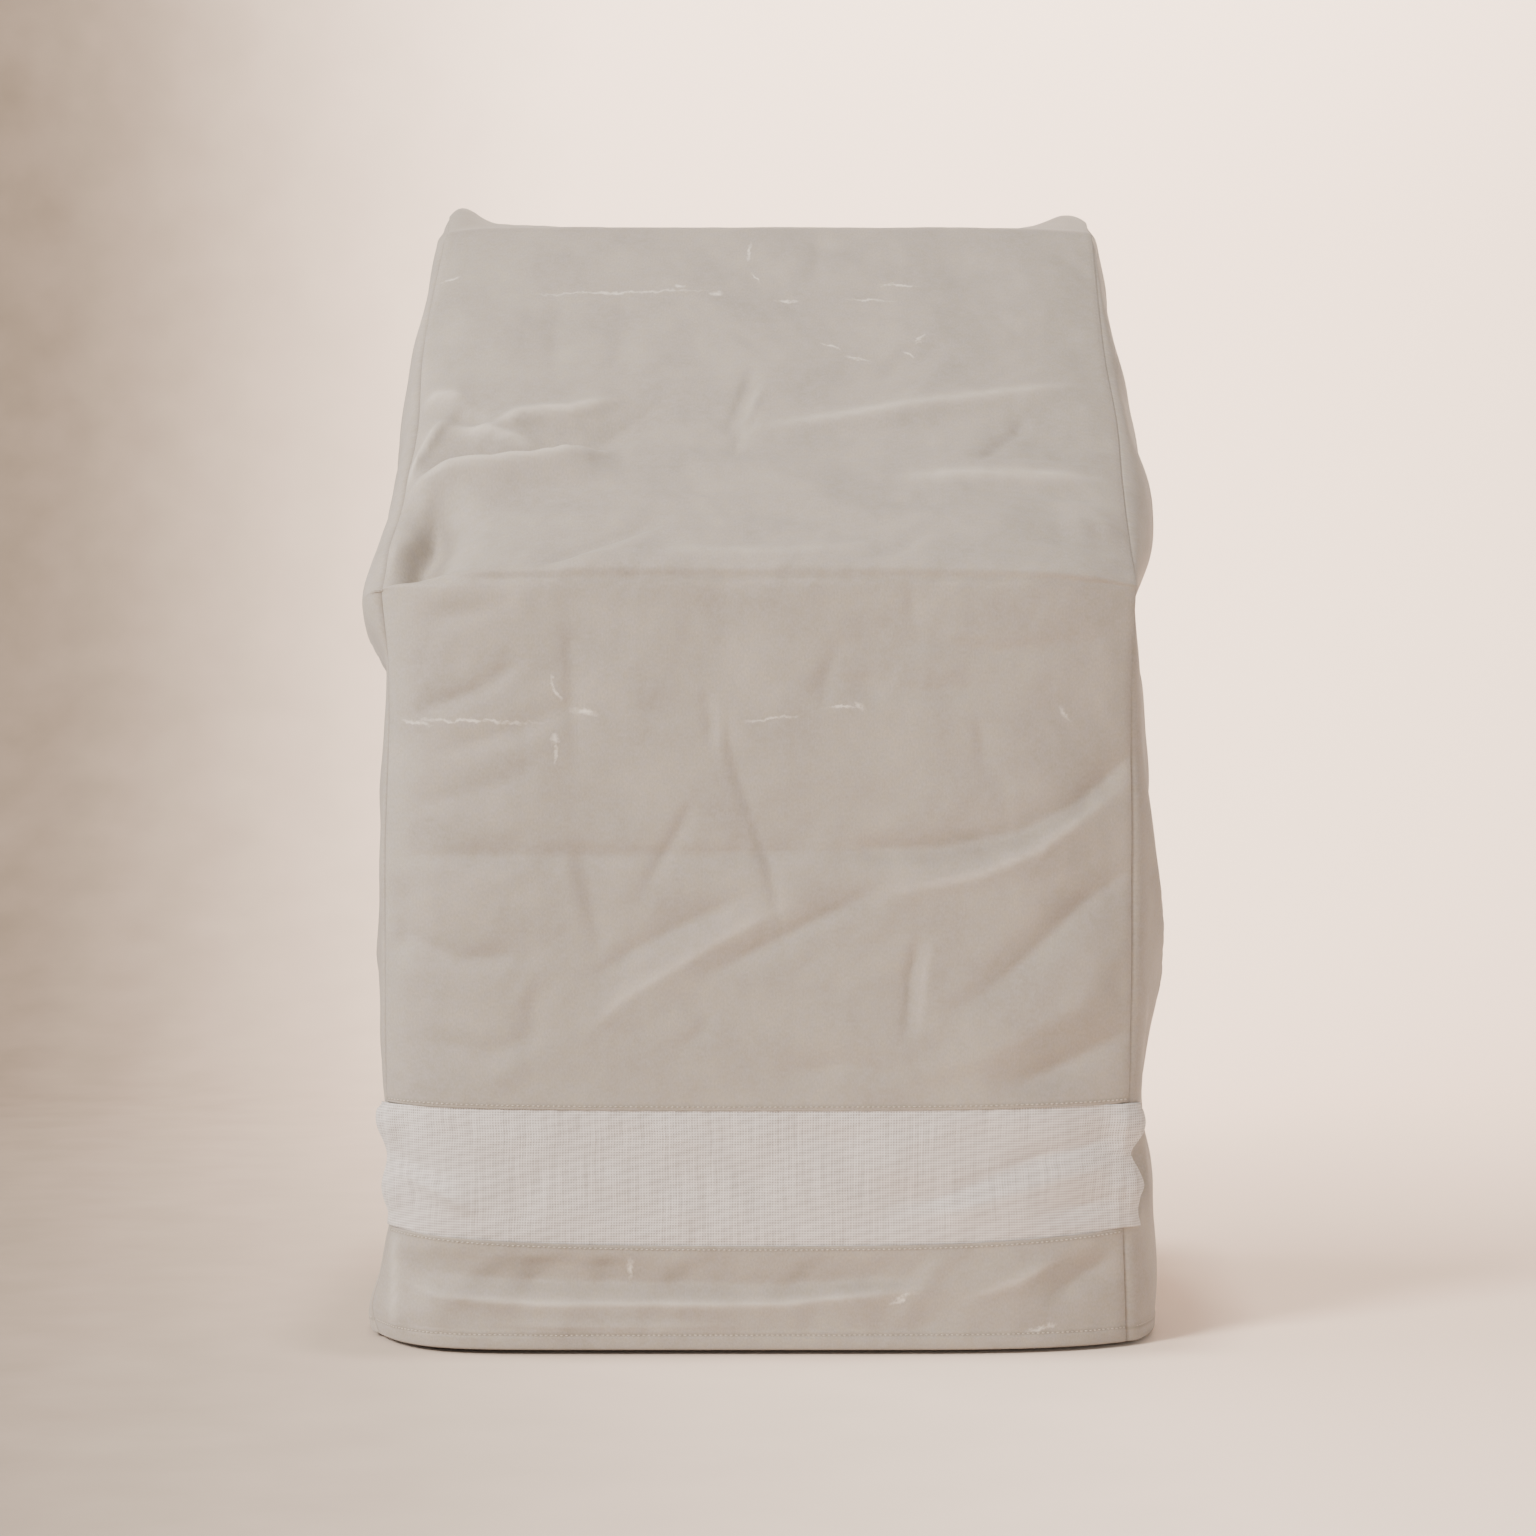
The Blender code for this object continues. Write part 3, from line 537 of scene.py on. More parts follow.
    def __post_init__(self) -> None:
        """Works out the side-view path as close points: straight runs joined by parabola bends."""
        corners = np.array(self.path)[:, :2]
        points = [corners[:1]]
        for before, corner, after, row in zip(corners, corners[1:], corners[2:], self.path[1:]):
            start = corner + row[2] * (before - corner) / np.linalg.norm(before - corner)
            end = corner + row[2] * (after - corner) / np.linalg.norm(after - corner)
            part = np.linspace(0, 1, 25)[:, None]
            points.append((1 - part) ** 2 * start + 2 * part * (1 - part) * corner + part**2 * end)
        line = np.concatenate(points + [corners[-1:]])
        run = np.concatenate([[0], np.cumsum(np.linalg.norm(np.diff(line, axis=0), axis=1))])
        even = np.append(np.arange(0, run[-1], 0.002), run[-1])
        depth, height = np.interp(even, run, line[:, 0]), np.interp(even, run, line[:, 1])
        places = {"arm": corners[2], "top": corners[4], "rear": corners[5]}
        marks = {k: even[np.argmin(np.hypot(depth - c[0], height - c[1]))] for k, c in places.items()}
        values = {"run": even, "depth": depth, "height": height, "marks": marks}
        values["turn_depth"], values["turn_height"] = np.gradient(depth, even), np.gradient(height, even)
        for name, value in values.items():
            object.__setattr__(self, name, value)

    def edge(self, run: Array, place: int) -> Array:
        """Place or fall of a seam along the path, from the front or the rear table.

        Args:
            run: length along the path.
            place: column of the tables.

        Returns:
            The places or falls, positive or negative as in the tables.
        """
        height = np.interp(run, self.run, self.height)
        tables = map(np.array, (self.front_edges, self.rear_edges))
        front, rear = (through(height, table[:, 0], table[:, place]) for table in tables)
        share = ramp(run, self.marks["top"], self.marks["rear"])
        return front * (1 - share) + rear * share

    def run_of(self, height: Array) -> Array:
        """Length along the path to a height on the front or the slope."""
        rising = self.run <= self.marks["top"]
        return np.interp(height, self.height[rising], self.run[rising])

    def sag(self, heights: tuple[float, float], share: Array) -> Array:
        """Height of a band seam: lower in the middle of the front than at its corners."""
        return heights[1] + (heights[0] - heights[1]) * np.clip(np.abs(share), 0, 1) ** 2.5

    def ear_rise(self, x: Array) -> Array:
        """Rise of the rear edge towards the back posts, and the round tip over each."""
        rise = self.ear_slope * np.clip(np.abs(x) / self.ear_slope_reach, 0, 1.15) ** 3
        return rise + sum(tip * np.exp(-(((x - middle) / reach) ** 2)) for middle, tip, reach in self.ears)

    def strip(self, run: Array, share: Array, relief: Callable | None = None) -> Array:
        """Points of the centre strip.

        The path gives depth and height, share the place between the seams. Both corners fall
        back as a power of the share, the folds and the crumple lift the cloth along its normal,
        and its last few millimetres roll in to the seam.

        Args:
            run: length along the path.
            share: from -1 at the left seam to 1 at the right seam.
            relief: height of the folds, from places across, height and run.

        Returns:
            Points in the frame, with x, y and z last.
        """
        depth, height = np.interp(run, self.run, self.depth), np.interp(run, self.run, self.height)
        out_depth = -np.interp(run, self.run, self.turn_height)
        out_height = np.interp(run, self.run, self.turn_depth)
        right = share > 0
        edge = np.where(right, self.edge(run, 2), -self.edge(run, 1))
        drop = np.where(right, self.edge(run, 4), self.edge(run, 3))
        x = share * edge
        fall = drop * np.abs(share) ** np.where(right, self.corner_powers[1], self.corner_powers[0])
        fall += self.roll_depth * np.exp(-(((1 - np.abs(share)) * edge / self.roll_reach) ** 2))
        if relief is not None:
            fall -= relief(x, height, run)
        depth, height = depth - fall * out_depth, height - fall * out_height
        on_top = ramp(run, self.marks["top"], self.marks["rear"])
        on_top *= ramp(self.marks["rear"] + self.ear_down_back - run, 0, self.ear_down_back)
        return self.placed(x, depth, height + on_top * self.ear_rise(x))

    def placed(self, x: Array, depth: Array, height: Array) -> Array:
        """Points in the frame from places across, depths and heights."""
        return np.stack([x - self.origin_x, depth - self.origin_depth, height], -1)

    def relief(self, x: Array, height: Array, run: Array) -> Array:
        """Height of all that lies on the strip, from places across, heights and runs.

        Folds of the front and slope, drawn higher by the gain, of the back, and of the canvas
        below the band, each fading out at the band's seams; low crumple, calmer at the bend of
        the top, and on the lower slope streaks across that are six times as long as high; small
        puckers along the stitched seams.

        Args:
            x: places across.
            height: heights on the filled cover.
            run: length along the path.

        Returns:
            The heights, outwards.
        """
        on_front = ramp(self.marks["top"] + BEND_FADE - run, 0, 2 * BEND_FADE)
        on_rear = ramp(run - self.marks["rear"] - BEND_FADE, 0, 2 * BEND_FADE)
        front = self.fold_gain * fold_heights(SLOPE_FOLDS + FRONT_FOLDS, x, height)
        middle = ramp(CRUMPLE_WIDTH - np.abs(x), 0, 0.03)
        crumple = PACKED.relief(x, run) + FINE.relief(x, run)
        crumple *= 1 - 0.8 * np.exp(-(((run - self.marks["top"]) / 0.03) ** 2))
        on_slope = ramp(height, STREAKED[0], 0.730) * ramp(STREAKED[1] - height, 0.0, 0.040)
        on_slope *= on_front
        streaks = STREAKS.relief(0.16 * x, run - 0.05 * x)
        free = ramp(run - self.run_of(self.band_top[1]), 0.002, 0.030)
        seam = self.sag(self.band_bottom, x / HALF_WIDTH)
        lower = fold_heights(SKIRT_FOLDS, x, height) + middle * SKIRT_CRUMPLE.relief(x, height)
        lower *= ramp(height, 0.004, 0.030) * ramp(seam - height, 0.0, 0.02) * on_front
        rows = (self.hem_height, seam, self.run_of(self.band_pucker))
        pucker = sum(np.exp(-np.abs(run - row) / PUCKER["reach"]) for row in rows)
        ripples = np.sin(2 * np.pi * x / PUCKER["length"] + 2.3 * np.sin(10 * x))
        pucker *= PUCKER["height"] * middle * ripples
        upper = on_front * front + on_rear * fold_heights(REAR_FOLDS, x, height)
        upper += middle * (crumple + on_slope * streaks)
        return free * upper + lower + pucker

    def side(self, level: Array, share: Array, side: Side) -> Array:
        """Points of a side panel.

        Straight rulings join the front seam, its bends softened away from the seam, to the back
        seam. The belly stands out as a skewed power curve between them, and folds and crumple
        are added across.

        Args:
            level: 0 at the hem, 1 at the top.
            share: 0 at the front seam, 1 at the back seam.
            side: left or right.

        Returns:
            Points in the frame, with x, y and z last.
        """
        top_run, rear_run, end_run = self.marks["top"], self.marks["rear"], self.run[-1]
        edge, full = np.full_like(level, float(side.value)), np.ones_like(level)
        run = level * top_run
        front = self.strip(run, edge, self.relief)
        reach = self.side_bend * ramp(run, 0, 0.1) * ramp(top_run - run, 0, 0.1)
        soft = sum(self.strip(run + step * reach, edge) for step in (-1.0, -0.5, 0.0, 0.5, 1.0)) / 5
        front += (soft - front) * ramp(share, 0.0, 0.10)[..., None]
        rear = self.strip(end_run - level * (end_run - rear_run), edge, self.relief)
        front[..., 1] += self.front_inset - self.roll_depth
        rear[..., 1] -= self.rear_inset - self.roll_depth
        crown = self.strip(top_run + share * (rear_run - top_run), edge)
        corners = self.strip(full * top_run, edge), self.strip(full * rear_run, edge)
        part = share[..., None]
        crest = crown - corners[0] * (1 - part) - corners[1] * part
        points = front * (1 - part) + rear * part + level[..., None] ** 6 * crest
        table = np.array(self.belly)
        size = through(front[..., 2], table[:, 0], table[:, 1 if side is Side.LEFT else 2])
        power = self.belly_power * (1 - self.belly_place) / self.belly_place
        bow = (share / self.belly_place) ** self.belly_power
        bow = bow * ((1 - share) / (1 - self.belly_place)) ** power
        depth, height = points[..., 1] + self.origin_depth, points[..., 2]
        folded = fold_heights(SIDE_FOLDS[side], depth, height)
        folded += Crumple(31 + side.value, 0.0011, 0.240, 0.060).relief(depth, height)
        folded *= ramp(share, 0, 0.06) * ramp(1 - share, 0, 0.1)
        seam = np.minimum(share, 1 - share) * 0.6
        roll = self.roll_depth * np.exp(-((seam / self.roll_reach) ** 2))
        points[..., 0] += side.value * ((size * bow + folded) * ramp(1 - level, 0.0, 0.02) - roll)
        points[..., 0] += side.value * self.hem_relief(height) * ramp(share, 0, 0.02)
        points[..., 2] -= self.top_inset * ramp(level, 0.97, 1.0)
        return self.lifted(points)

    def lifted(self, points: Array) -> Array:
        """The points, with the hem just off the floor at the front, less so towards the back.

        Args:
            points: points in the frame.

        Returns:
            The same points, lifted.
        """
        end, length = self.hem_gap_fade
        gap = self.hem_gap * ramp(end - self.origin_depth - points[..., 1], 0, length)
        points[..., 2] += gap * np.clip(1 - points[..., 2] / HEM_ROWS[-1], 0, 1)
        return points

    def hem_relief(self, height: Array) -> Array:
        """Outward step of the doubled hem, with a groove where its stitches pull it in.

        Args:
            height: heights above the floor.

        Returns:
            How far the cloth stands out.
        """
        step = self.hem_step * ramp(self.hem_height + 0.0035 - height, 0.0, 0.0020)
        groove = self.hem_groove[0] * np.exp(-(((height - self.hem_height) / self.hem_groove[1]) ** 2))
        rounding = self.hem_edge[0] * np.exp(-((height / self.hem_edge[1]) ** 2))
        return step - groove - rounding


@dataclass(frozen=True)
class Cloth:
    """One cloth piece as a grid on a function of two parameters, thickened inwards.

    Attributes:
        name: name of the piece.
        node: CAD node that it stands for.
        slot: material slot.
        thickness: thickness of the cloth.
        flat: width and length it was cut to.
        area: area of the cut.
    """

    name: str
    node: str
    slot: Slot
    thickness: float
    flat: tuple[float, float]
    area: float

    def build(self, points: Array, flat_places: Array, crest: Array, look: Look) -> Piece:
        """Makes the mesh and dresses it.

        Args:
            points: grid of points, rows up, columns across, x, y and z last.
            flat_places: grid of places on the flat cloth in metres, for the pattern.
            crest: grid of crest paleness, partly rubbing and partly painted highlight, up to 1, and -1 on
                stitched lines for painted shade in their grooves.
            look: the material.

        Returns:
            The piece.
        """
        rows, columns = points.shape[:2]
        index = np.arange(rows * columns).reshape(rows, columns)
        corners = np.stack([index[:-1, :-1], index[:-1, 1:], index[1:, 1:], index[1:, :-1]], -1)
        corners = corners.reshape(-1, 4)
        mesh = mesh_of(self.name + "_sheet", points.reshape(-1, 3), corners)
        layer = mesh.uv_layers.new(name=CLOTH_MAP)
        places = flat_places.reshape(-1, 2)[corners.ravel()]
        layer.data.foreach_set("uv", places.astype(np.float32).ravel())
        # crest rubbing and painted highlight, and painted shade along stitches
        rubbed_and_painted_light = mesh.attributes.new(RUB_AND_PAINTED_LIGHT, "FLOAT", "POINT")
        rubbed_and_painted_light.data.foreach_set("value", crest.astype(np.float32).ravel())
        sheet = bpy.data.objects.new(self.name + "_sheet", mesh)
        bpy.context.scene.collection.objects.link(sheet)
        shell = sheet.modifiers.new("thickness", "SOLIDIFY")
        shell.thickness, shell.offset = self.thickness, -1
        graph = bpy.context.evaluated_depsgraph_get()
        thick = bpy.data.meshes.new_from_object(sheet.evaluated_get(graph))
        bpy.data.objects.remove(sheet, do_unlink=True)
        level = np.empty(len(thick.vertices) * 3, np.float32)
        thick.vertices.foreach_get("co", level)
        level[2::3] = np.maximum(level[2::3], 0.0)
        thick.vertices.foreach_set("co", level)
        thick.update()
        piece = show(self.name, thick, look, self.slot)
        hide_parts(self.node)
        return piece

    def declare(self, piece: Piece, held: str, rests_on: list, with_pieces: list) -> None:
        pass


def mesh_of(name: str, points: Array, corners: Array) -> Mesh:
    """Mesh from points and the corner indices of its four-sided faces, shaded smooth.

    Args:
        name: name of the mesh.
        points: one row for each point.
        corners: four indices for each face.

    Returns:
        The mesh.
    """
    mesh = bpy.data.meshes.new(name)
    mesh.vertices.add(len(points))
    mesh.vertices.foreach_set("co", points.astype(np.float32).ravel())
    mesh.loops.add(corners.size)
    mesh.loops.foreach_set("vertex_index", corners.astype(np.int32).ravel())
    mesh.polygons.add(len(corners))
    mesh.polygons.foreach_set("loop_start", np.arange(0, corners.size, 4, dtype=np.int32))
    mesh.update(calc_edges=True)
    mesh.shade_smooth()
    return mesh


def show(name: str, mesh: Mesh, look: Look, slot: Slot) -> Piece:
    """Adds a finished piece that rides on the cover's body, with the given material.

    Args:
        name: name of the piece.
        mesh: its mesh.
        look: the material.
        slot: material slot; not used.

    Returns:
        The piece.
    """
    mesh.name = name
    mesh.materials.clear()
    mesh.materials.append(look)
    piece = bpy.data.objects.new(name, mesh)
    bpy.context.scene.collection.objects.link(piece)
    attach(piece, ROOT)
    log.info("%s: %d points", name, len(mesh.vertices))
    return piece


def crest_rubbing_and_highlight(folds: tuple, x: Array, z: Array) -> Array:
    """Rubbing and painted highlight from a set of folds: only on sharp crests, within a few millimetres.

    Args:
        folds: the folds.
        x: places across.
        z: places up.

    Returns:
        Rubbing and painted highlight from 0 to 1.
    """
    rubbing_and_highlight = np.zeros(x.shape)
    for fold in folds:
        if fold.rise > RUB_HIGHLIGHT_RISE[0] and fold.roundness <= RUB_HIGHLIGHT_ROUNDNESS:
            sharp = Fold(fold.line, RUB_HIGHLIGHT_REACH, RUB_HIGHLIGHT_REACH, 1.0, 0.6, 0.3)
            rubbing_and_highlight = np.maximum(rubbing_and_highlight, min(fold.rise / RUB_HIGHLIGHT_RISE[1], 1.0) * sharp.profile(x, z))
    return rubbing_and_highlight


def stitch_groove_shade(distance: Array) -> Array:
    """Painted shade in the groove of a stitched line: -1 on the line, 0 from 3 mm away."""
    return -np.exp(-((distance / STITCH_SHADE_REACH) ** 2))


def edge_columns(count: int, half_width: float) -> Array:
    """Shares from -1 to 1 for a strip's columns, with close ones by both seams.

    Args:
        count: number of even columns.
        half_width: half the width of the strip.

    Returns:
        The shares, rising.
    """
    close = CORNER_COLUMNS / half_width
    inner = np.linspace(-1, 1, count)[2:-2]
    return np.concatenate([-1 + close, inner, 1 - close[::-1]])


@dataclass(frozen=True)
class MainStrip:
    """Front above the band, slope, top and back, in one length of canvas."""

    form: CoverForm
    cloth: Cloth = Cloth("main_cloth", "main_panel", Slot.CANVAS, CANVAS_THICKNESS, (0.71, 2.28), 1.56)
    columns: int = 158
    rows: tuple = (100, 16, 118, 12, 34)

    def point(self, run: Array, share: Array) -> Array:
        """Point of this cloth, with its folds, and with the doubled hem at the foot of the back.

        Args:
            run: length along the path.
            share: from -1 at the left seam to 1 at the right seam.

        Returns:
            Points in the frame.
        """
        form = self.form
        points = form.strip(run, share, form.relief)
        behind = run > form.marks["rear"] + 0.1
        points[..., 1] += np.where(behind, form.hem_relief(points[..., 2]), 0.0)
        return points

    def build(self, look: Look) -> Piece:
        """Builds the cloth: rows along the path, the lowest ones following the sagging seam.

        Args:
            look: the material.

        Returns:
            The piece.
        """
        form = self.form
        start = form.run_of(form.band_top[1])
        arm, top = form.marks["arm"], form.marks["top"]
        end = form.run[-1]
        stops = (arm - 0.018, arm + 0.014, top + 0.014, form.marks["rear"] + 0.03, end - HEM_ROWS[-1])
        rows = [start + BAND_ROWS]
        start += 0.0085
        for stop, count in zip(stops, self.rows):
            rows.append(np.linspace(start, stop, count, endpoint=False))
            start = stop
        rows = np.concatenate(rows + [end - HEM_ROWS[::-1]])
        run, share = np.meshgrid(rows, edge_columns(self.columns, HALF_WIDTH), indexing="ij")
        lift = form.run_of(form.sag(form.band_top, share) + SEAM_GAP) - rows[0]
        run = run + lift * ramp(arm - run, 0.0, arm - rows[0])
        points = self.point(run, share)
        x = points[..., 0] + form.origin_x
        height = np.interp(run, form.run, form.height)
        # fold crests paler, partly by rubbing and partly by painted highlight
        crest = crest_rubbing_and_highlight(SLOPE_FOLDS + FRONT_FOLDS, x, height) * ramp(top - run, 0, BEND_FADE)
        behind = crest_rubbing_and_highlight(REAR_FOLDS, x, height) * ramp(run, form.marks["rear"], end)
        seam = form.run_of(form.sag(form.band_top, share) + STITCH_INSET)
        crest = np.maximum(crest, behind)
        # painted shade along the stitches above the band and along the hem
        crest += stitch_groove_shade(run - seam) + stitch_groove_shade(end - form.hem_height - run)
        return self.cloth.build(points, np.stack([x, run], -1), crest, look)

    def stitches(self, look: Look) -> list[Piece]:
        """Stitch rows just above the band, and along the hem of the back.

        Args:
            look: the material.

        Returns:
            The rows.
        """
        form = self.form
        share = np.linspace(-STITCH_END, STITCH_END, STITCH_POINTS)
        low = form.run_of(form.sag(form.band_top, share) + STITCH_INSET)
        back = np.full_like(share, form.run[-1] - form.hem_height)
        return [
            StitchRow("band_top_stitches").build(self.point, low, share, look),
            StitchRow("back_hem_stitches").build(self.point, back, share, look),
        ]


@dataclass(frozen=True)
class SidePanel:
    """One side of the cover, full height, set in behind the strip's edges."""

    form: CoverForm
    side: Side
    cloth: Cloth
    columns: int = 66
    rows: tuple = (10, 40, 84, 92)

    def point(self, level: Array, share: Array) -> Array:
        """Point of this cloth."""
        return self.form.side(level, share, self.side)

    def build(self, look: Look) -> Piece:
        """Builds the cloth: rulings up the side, columns closer by both seams.

        Args:
            look: the material.

        Returns:
            The piece.
        """
        form = self.form
        top = form.marks["top"]
        stops = np.array([HEM_ROWS[-1], form.run_of(form.band_top[0]), form.marks["arm"], top]) / top
        rows = [HEM_ROWS[:-1] / top]
        for start, stop, count in zip(stops, stops[1:], self.rows[1:]):
            rows.append(np.linspace(start, stop, count, endpoint=False))
        levels = np.concatenate(rows + [[1.0]])
        level, part = np.meshgrid(levels, np.linspace(0, 1, self.columns), indexing="ij")
        part = part**1.5 / (part**1.5 + (1 - part) ** 1.25)
        share = part if self.side is Side.RIGHT else 1 - part
        points = self.point(level, share)
        depth, height = points[..., 1] + form.origin_depth, points[..., 2]
        flat_places = np.stack([depth + 2.0 * (2 + self.side.value), height], -1)
        # painted shade along the hem stitches
        return self.cloth.build(points, flat_places, stitch_groove_shade(height - form.hem_height), look)

    def stitches(self, look: Look) -> list[Piece]:
        """Stitch row along the hem.

        Args:
            look: the material.

        Returns:
            The row.
        """
        share = np.linspace(0.01, 0.99, STITCH_POINTS)
        share = share if self.side is Side.RIGHT else share[::-1]
        level = np.full_like(share, self.form.hem_height / self.form.marks["top"])
        name = self.side.name.lower() + "_hem_stitches"
        return [StitchRow(name).build(self.point, level, share, look)]


@dataclass(frozen=True)
class VentBand:
    """Mesh across the front, lapped a little onto each side panel and pleated there.

    Attributes:
        laps: length of the lap, its pinch and where, then height, crest and pitch of its pleats.
        stand_off: how far the corner stands out over the side panel's seam.
        under: how far the mesh runs in under the canvas above and below.
        inset: how far it is set back there.
    """

    form: CoverForm
    cloth: Cloth = Cloth("vent_mesh_band", "vent_band", Slot.MESH, MESH_THICKNESS, (0.74, 0.125), 0.086)
    laps: tuple = (
        (0.020, 0.000, 0.165, 0.0035, 0.2040, 0.061),
        (0.015, 0.014, 0.176, 0.0030, 0.1450, 0.055),
    )
    stand_off: float = 0.0024
    under: float = 0.0030
    inset: float = 0.0020
    columns: int = 168
    lap_columns: int = 12
    rows: int = 52

    def point(self, part: Array, share: Array) -> Array:
        """Point of the band.

        Args:
            part: 0 at the lower seam, 1 at the upper seam.
            share: from -1 to 1 across the front, and beyond it along the laps.

        Returns:
            Points in the frame, with x, y and z last.
        """
        form = self.form
        inner = ramp(0.94 - np.abs(share), 0, 0.03)
        top = form.sag(form.band_top, share) - SEAM_GAP + self.under * inner
        bottom = form.sag(form.band_bottom, share) + SEAM_GAP - self.under * inner
        height = bottom + part * (top - bottom)
        run = form.run_of(height)
        points = form.strip(
            run, np.clip(share, -1, 1), lambda x, z, _: self.relief(x, z, part, inner)
        )
        for side, lap in zip(Side, self.laps):
            length, pinch, pinch_height, pleat, crest, pitch = lap
            length = length - pinch * np.exp(-(((height - pinch_height) / 0.020) ** 2))
            pleats = pleat * (1 + np.cos(2 * np.pi * (height - crest) / pitch))
            pleats *= ramp(height, form.band_bottom[0], form.band_bottom[0] + 0.02)
            pleats *= ramp(form.band_top[0] - height, 0, 0.008)
            turn = share * side.value
            past = np.clip(turn - 1, 0, 1) * length / form.path[-1][0]
            beyond = form.side(run / form.marks["top"], past, side)
            points = np.where((turn > 1)[..., None], beyond, points)
            turned = ramp(turn, 0.86, 1.5) * np.radians(78)
            stand = self.stand_off * ramp(turn, 0.955, 1.0) + pleats * ramp(turn, 0.93, 1.0)
            points[..., 0] += side.value * stand * np.sin(turned)
            points[..., 1] -= stand * np.cos(turned)
        return points

    def relief(self, x: Array, z: Array, part: Array, inner: Array) -> Array:
        """Height of the mesh: its folds, free of the seams, and set back under the canvas.

        Args:
            x: places across.
            z: heights.
            part: 0 at the lower seam, 1 at the upper seam.
            inner: 0 by the corners, 1 between them.

        Returns:
            The heights.
        """
        free = ramp(part, 0.02, 0.25) * ramp(1 - part, 0.02, 0.25)
        folds = fold_heights(BAND_FOLDS, x, z) + MESH_CRUMPLE.relief(x, z)
        near = np.exp(-(np.minimum(part, 1 - part) * 0.12 / 0.007) ** 2)
        return free * folds - self.inset * near * inner

    def build(self, look: Look) -> Piece:
        """Builds the cloth: columns across the front and on along both laps.

        Args:
            look: the material.

        Returns:
            The piece.
        """
        lap = np.linspace(0, 1, self.lap_columns + 1)[1:]
        columns = np.concatenate([-1 - lap[::-1], edge_columns(self.columns, HALF_WIDTH), 1 + lap])
        part, share = np.meshgrid(np.linspace(0, 1, self.rows), columns, indexing="ij")
        points = self.point(part, share)
        step = np.linalg.norm(np.diff(points, axis=1), axis=2)
        across = np.concatenate([np.zeros((self.rows, 1)), np.cumsum(step, 1)], 1)
        across -= across[:, len(columns) // 2][:, None]
        flat_places = np.stack([across, points[..., 2]], -1)
        return self.cloth.build(points, flat_places, np.zeros(part.shape), look)


@dataclass(frozen=True)
class FrontSkirt:
    """Canvas below the band, down to its doubled hem."""

    form: CoverForm
    cloth: Cloth = Cloth("skirt_cloth", "front_skirt", Slot.CANVAS, CANVAS_THICKNESS, (0.72, 0.105), 0.072)
    columns: int = 168

    def point(self, height: Array, share: Array) -> Array:
        """Point of this cloth at a height.

        Args:
            height: heights above the floor.
            share: from -1 at the left seam to 1 at the right seam.

        Returns:
            Points in the frame.
        """
        points = self.form.strip(self.form.run_of(height), share, self.form.relief)
        points[..., 1] -= self.form.hem_relief(height)
        return self.form.lifted(points)

    def build(self, look: Look) -> Piece:
        """Builds the cloth: close rows in the hem, then even ones up to the sagging seam.

        Args:
            look: the material.

        Returns:
            The piece.
        """
        form = self.form
        part = np.concatenate([np.linspace(0, 0.90, 30)[1:], [0.93, 0.945, 0.96, 0.975, 0.988, 1.0]])
        share = edge_columns(self.columns, HALF_WIDTH)
        top = form.sag(form.band_bottom, share) - SEAM_GAP
        hem = np.tile(HEM_ROWS[:, None], (1, len(share)))
        height = np.concatenate([hem, HEM_ROWS[-1] + part[:, None] * (top - HEM_ROWS[-1])])
        share = np.broadcast_to(share, height.shape)
        points = self.point(height, share)
        x = points[..., 0] + form.origin_x
        seam = form.sag(form.band_bottom, share) - STITCH_INSET
        # fold crests paler, partly by rubbing and partly by painted highlight
        crest = crest_rubbing_and_highlight(SKIRT_FOLDS, x, height)
        # painted shade along the stitches below the band and along the hem
        crest = crest + stitch_groove_shade(height - seam) + stitch_groove_shade(height - form.hem_height)
        return self.cloth.build(points, np.stack([x, height], -1), crest, look)

    def stitches(self, look: Look) -> list[Piece]:
        """Stitch rows just below the band and along the hem.

        Args:
            look: the material.

        Returns:
            The rows.
        """
        form = self.form
        share = np.linspace(-STITCH_END, STITCH_END, STITCH_POINTS)
        seam = form.sag(form.band_bottom, share) - STITCH_INSET
        hem = np.full_like(share, form.hem_height)
        return [
            StitchRow("band_bottom_stitches").build(self.point, seam, share, look),
            StitchRow("front_hem_stitches").build(self.point, hem, share, look),
        ]


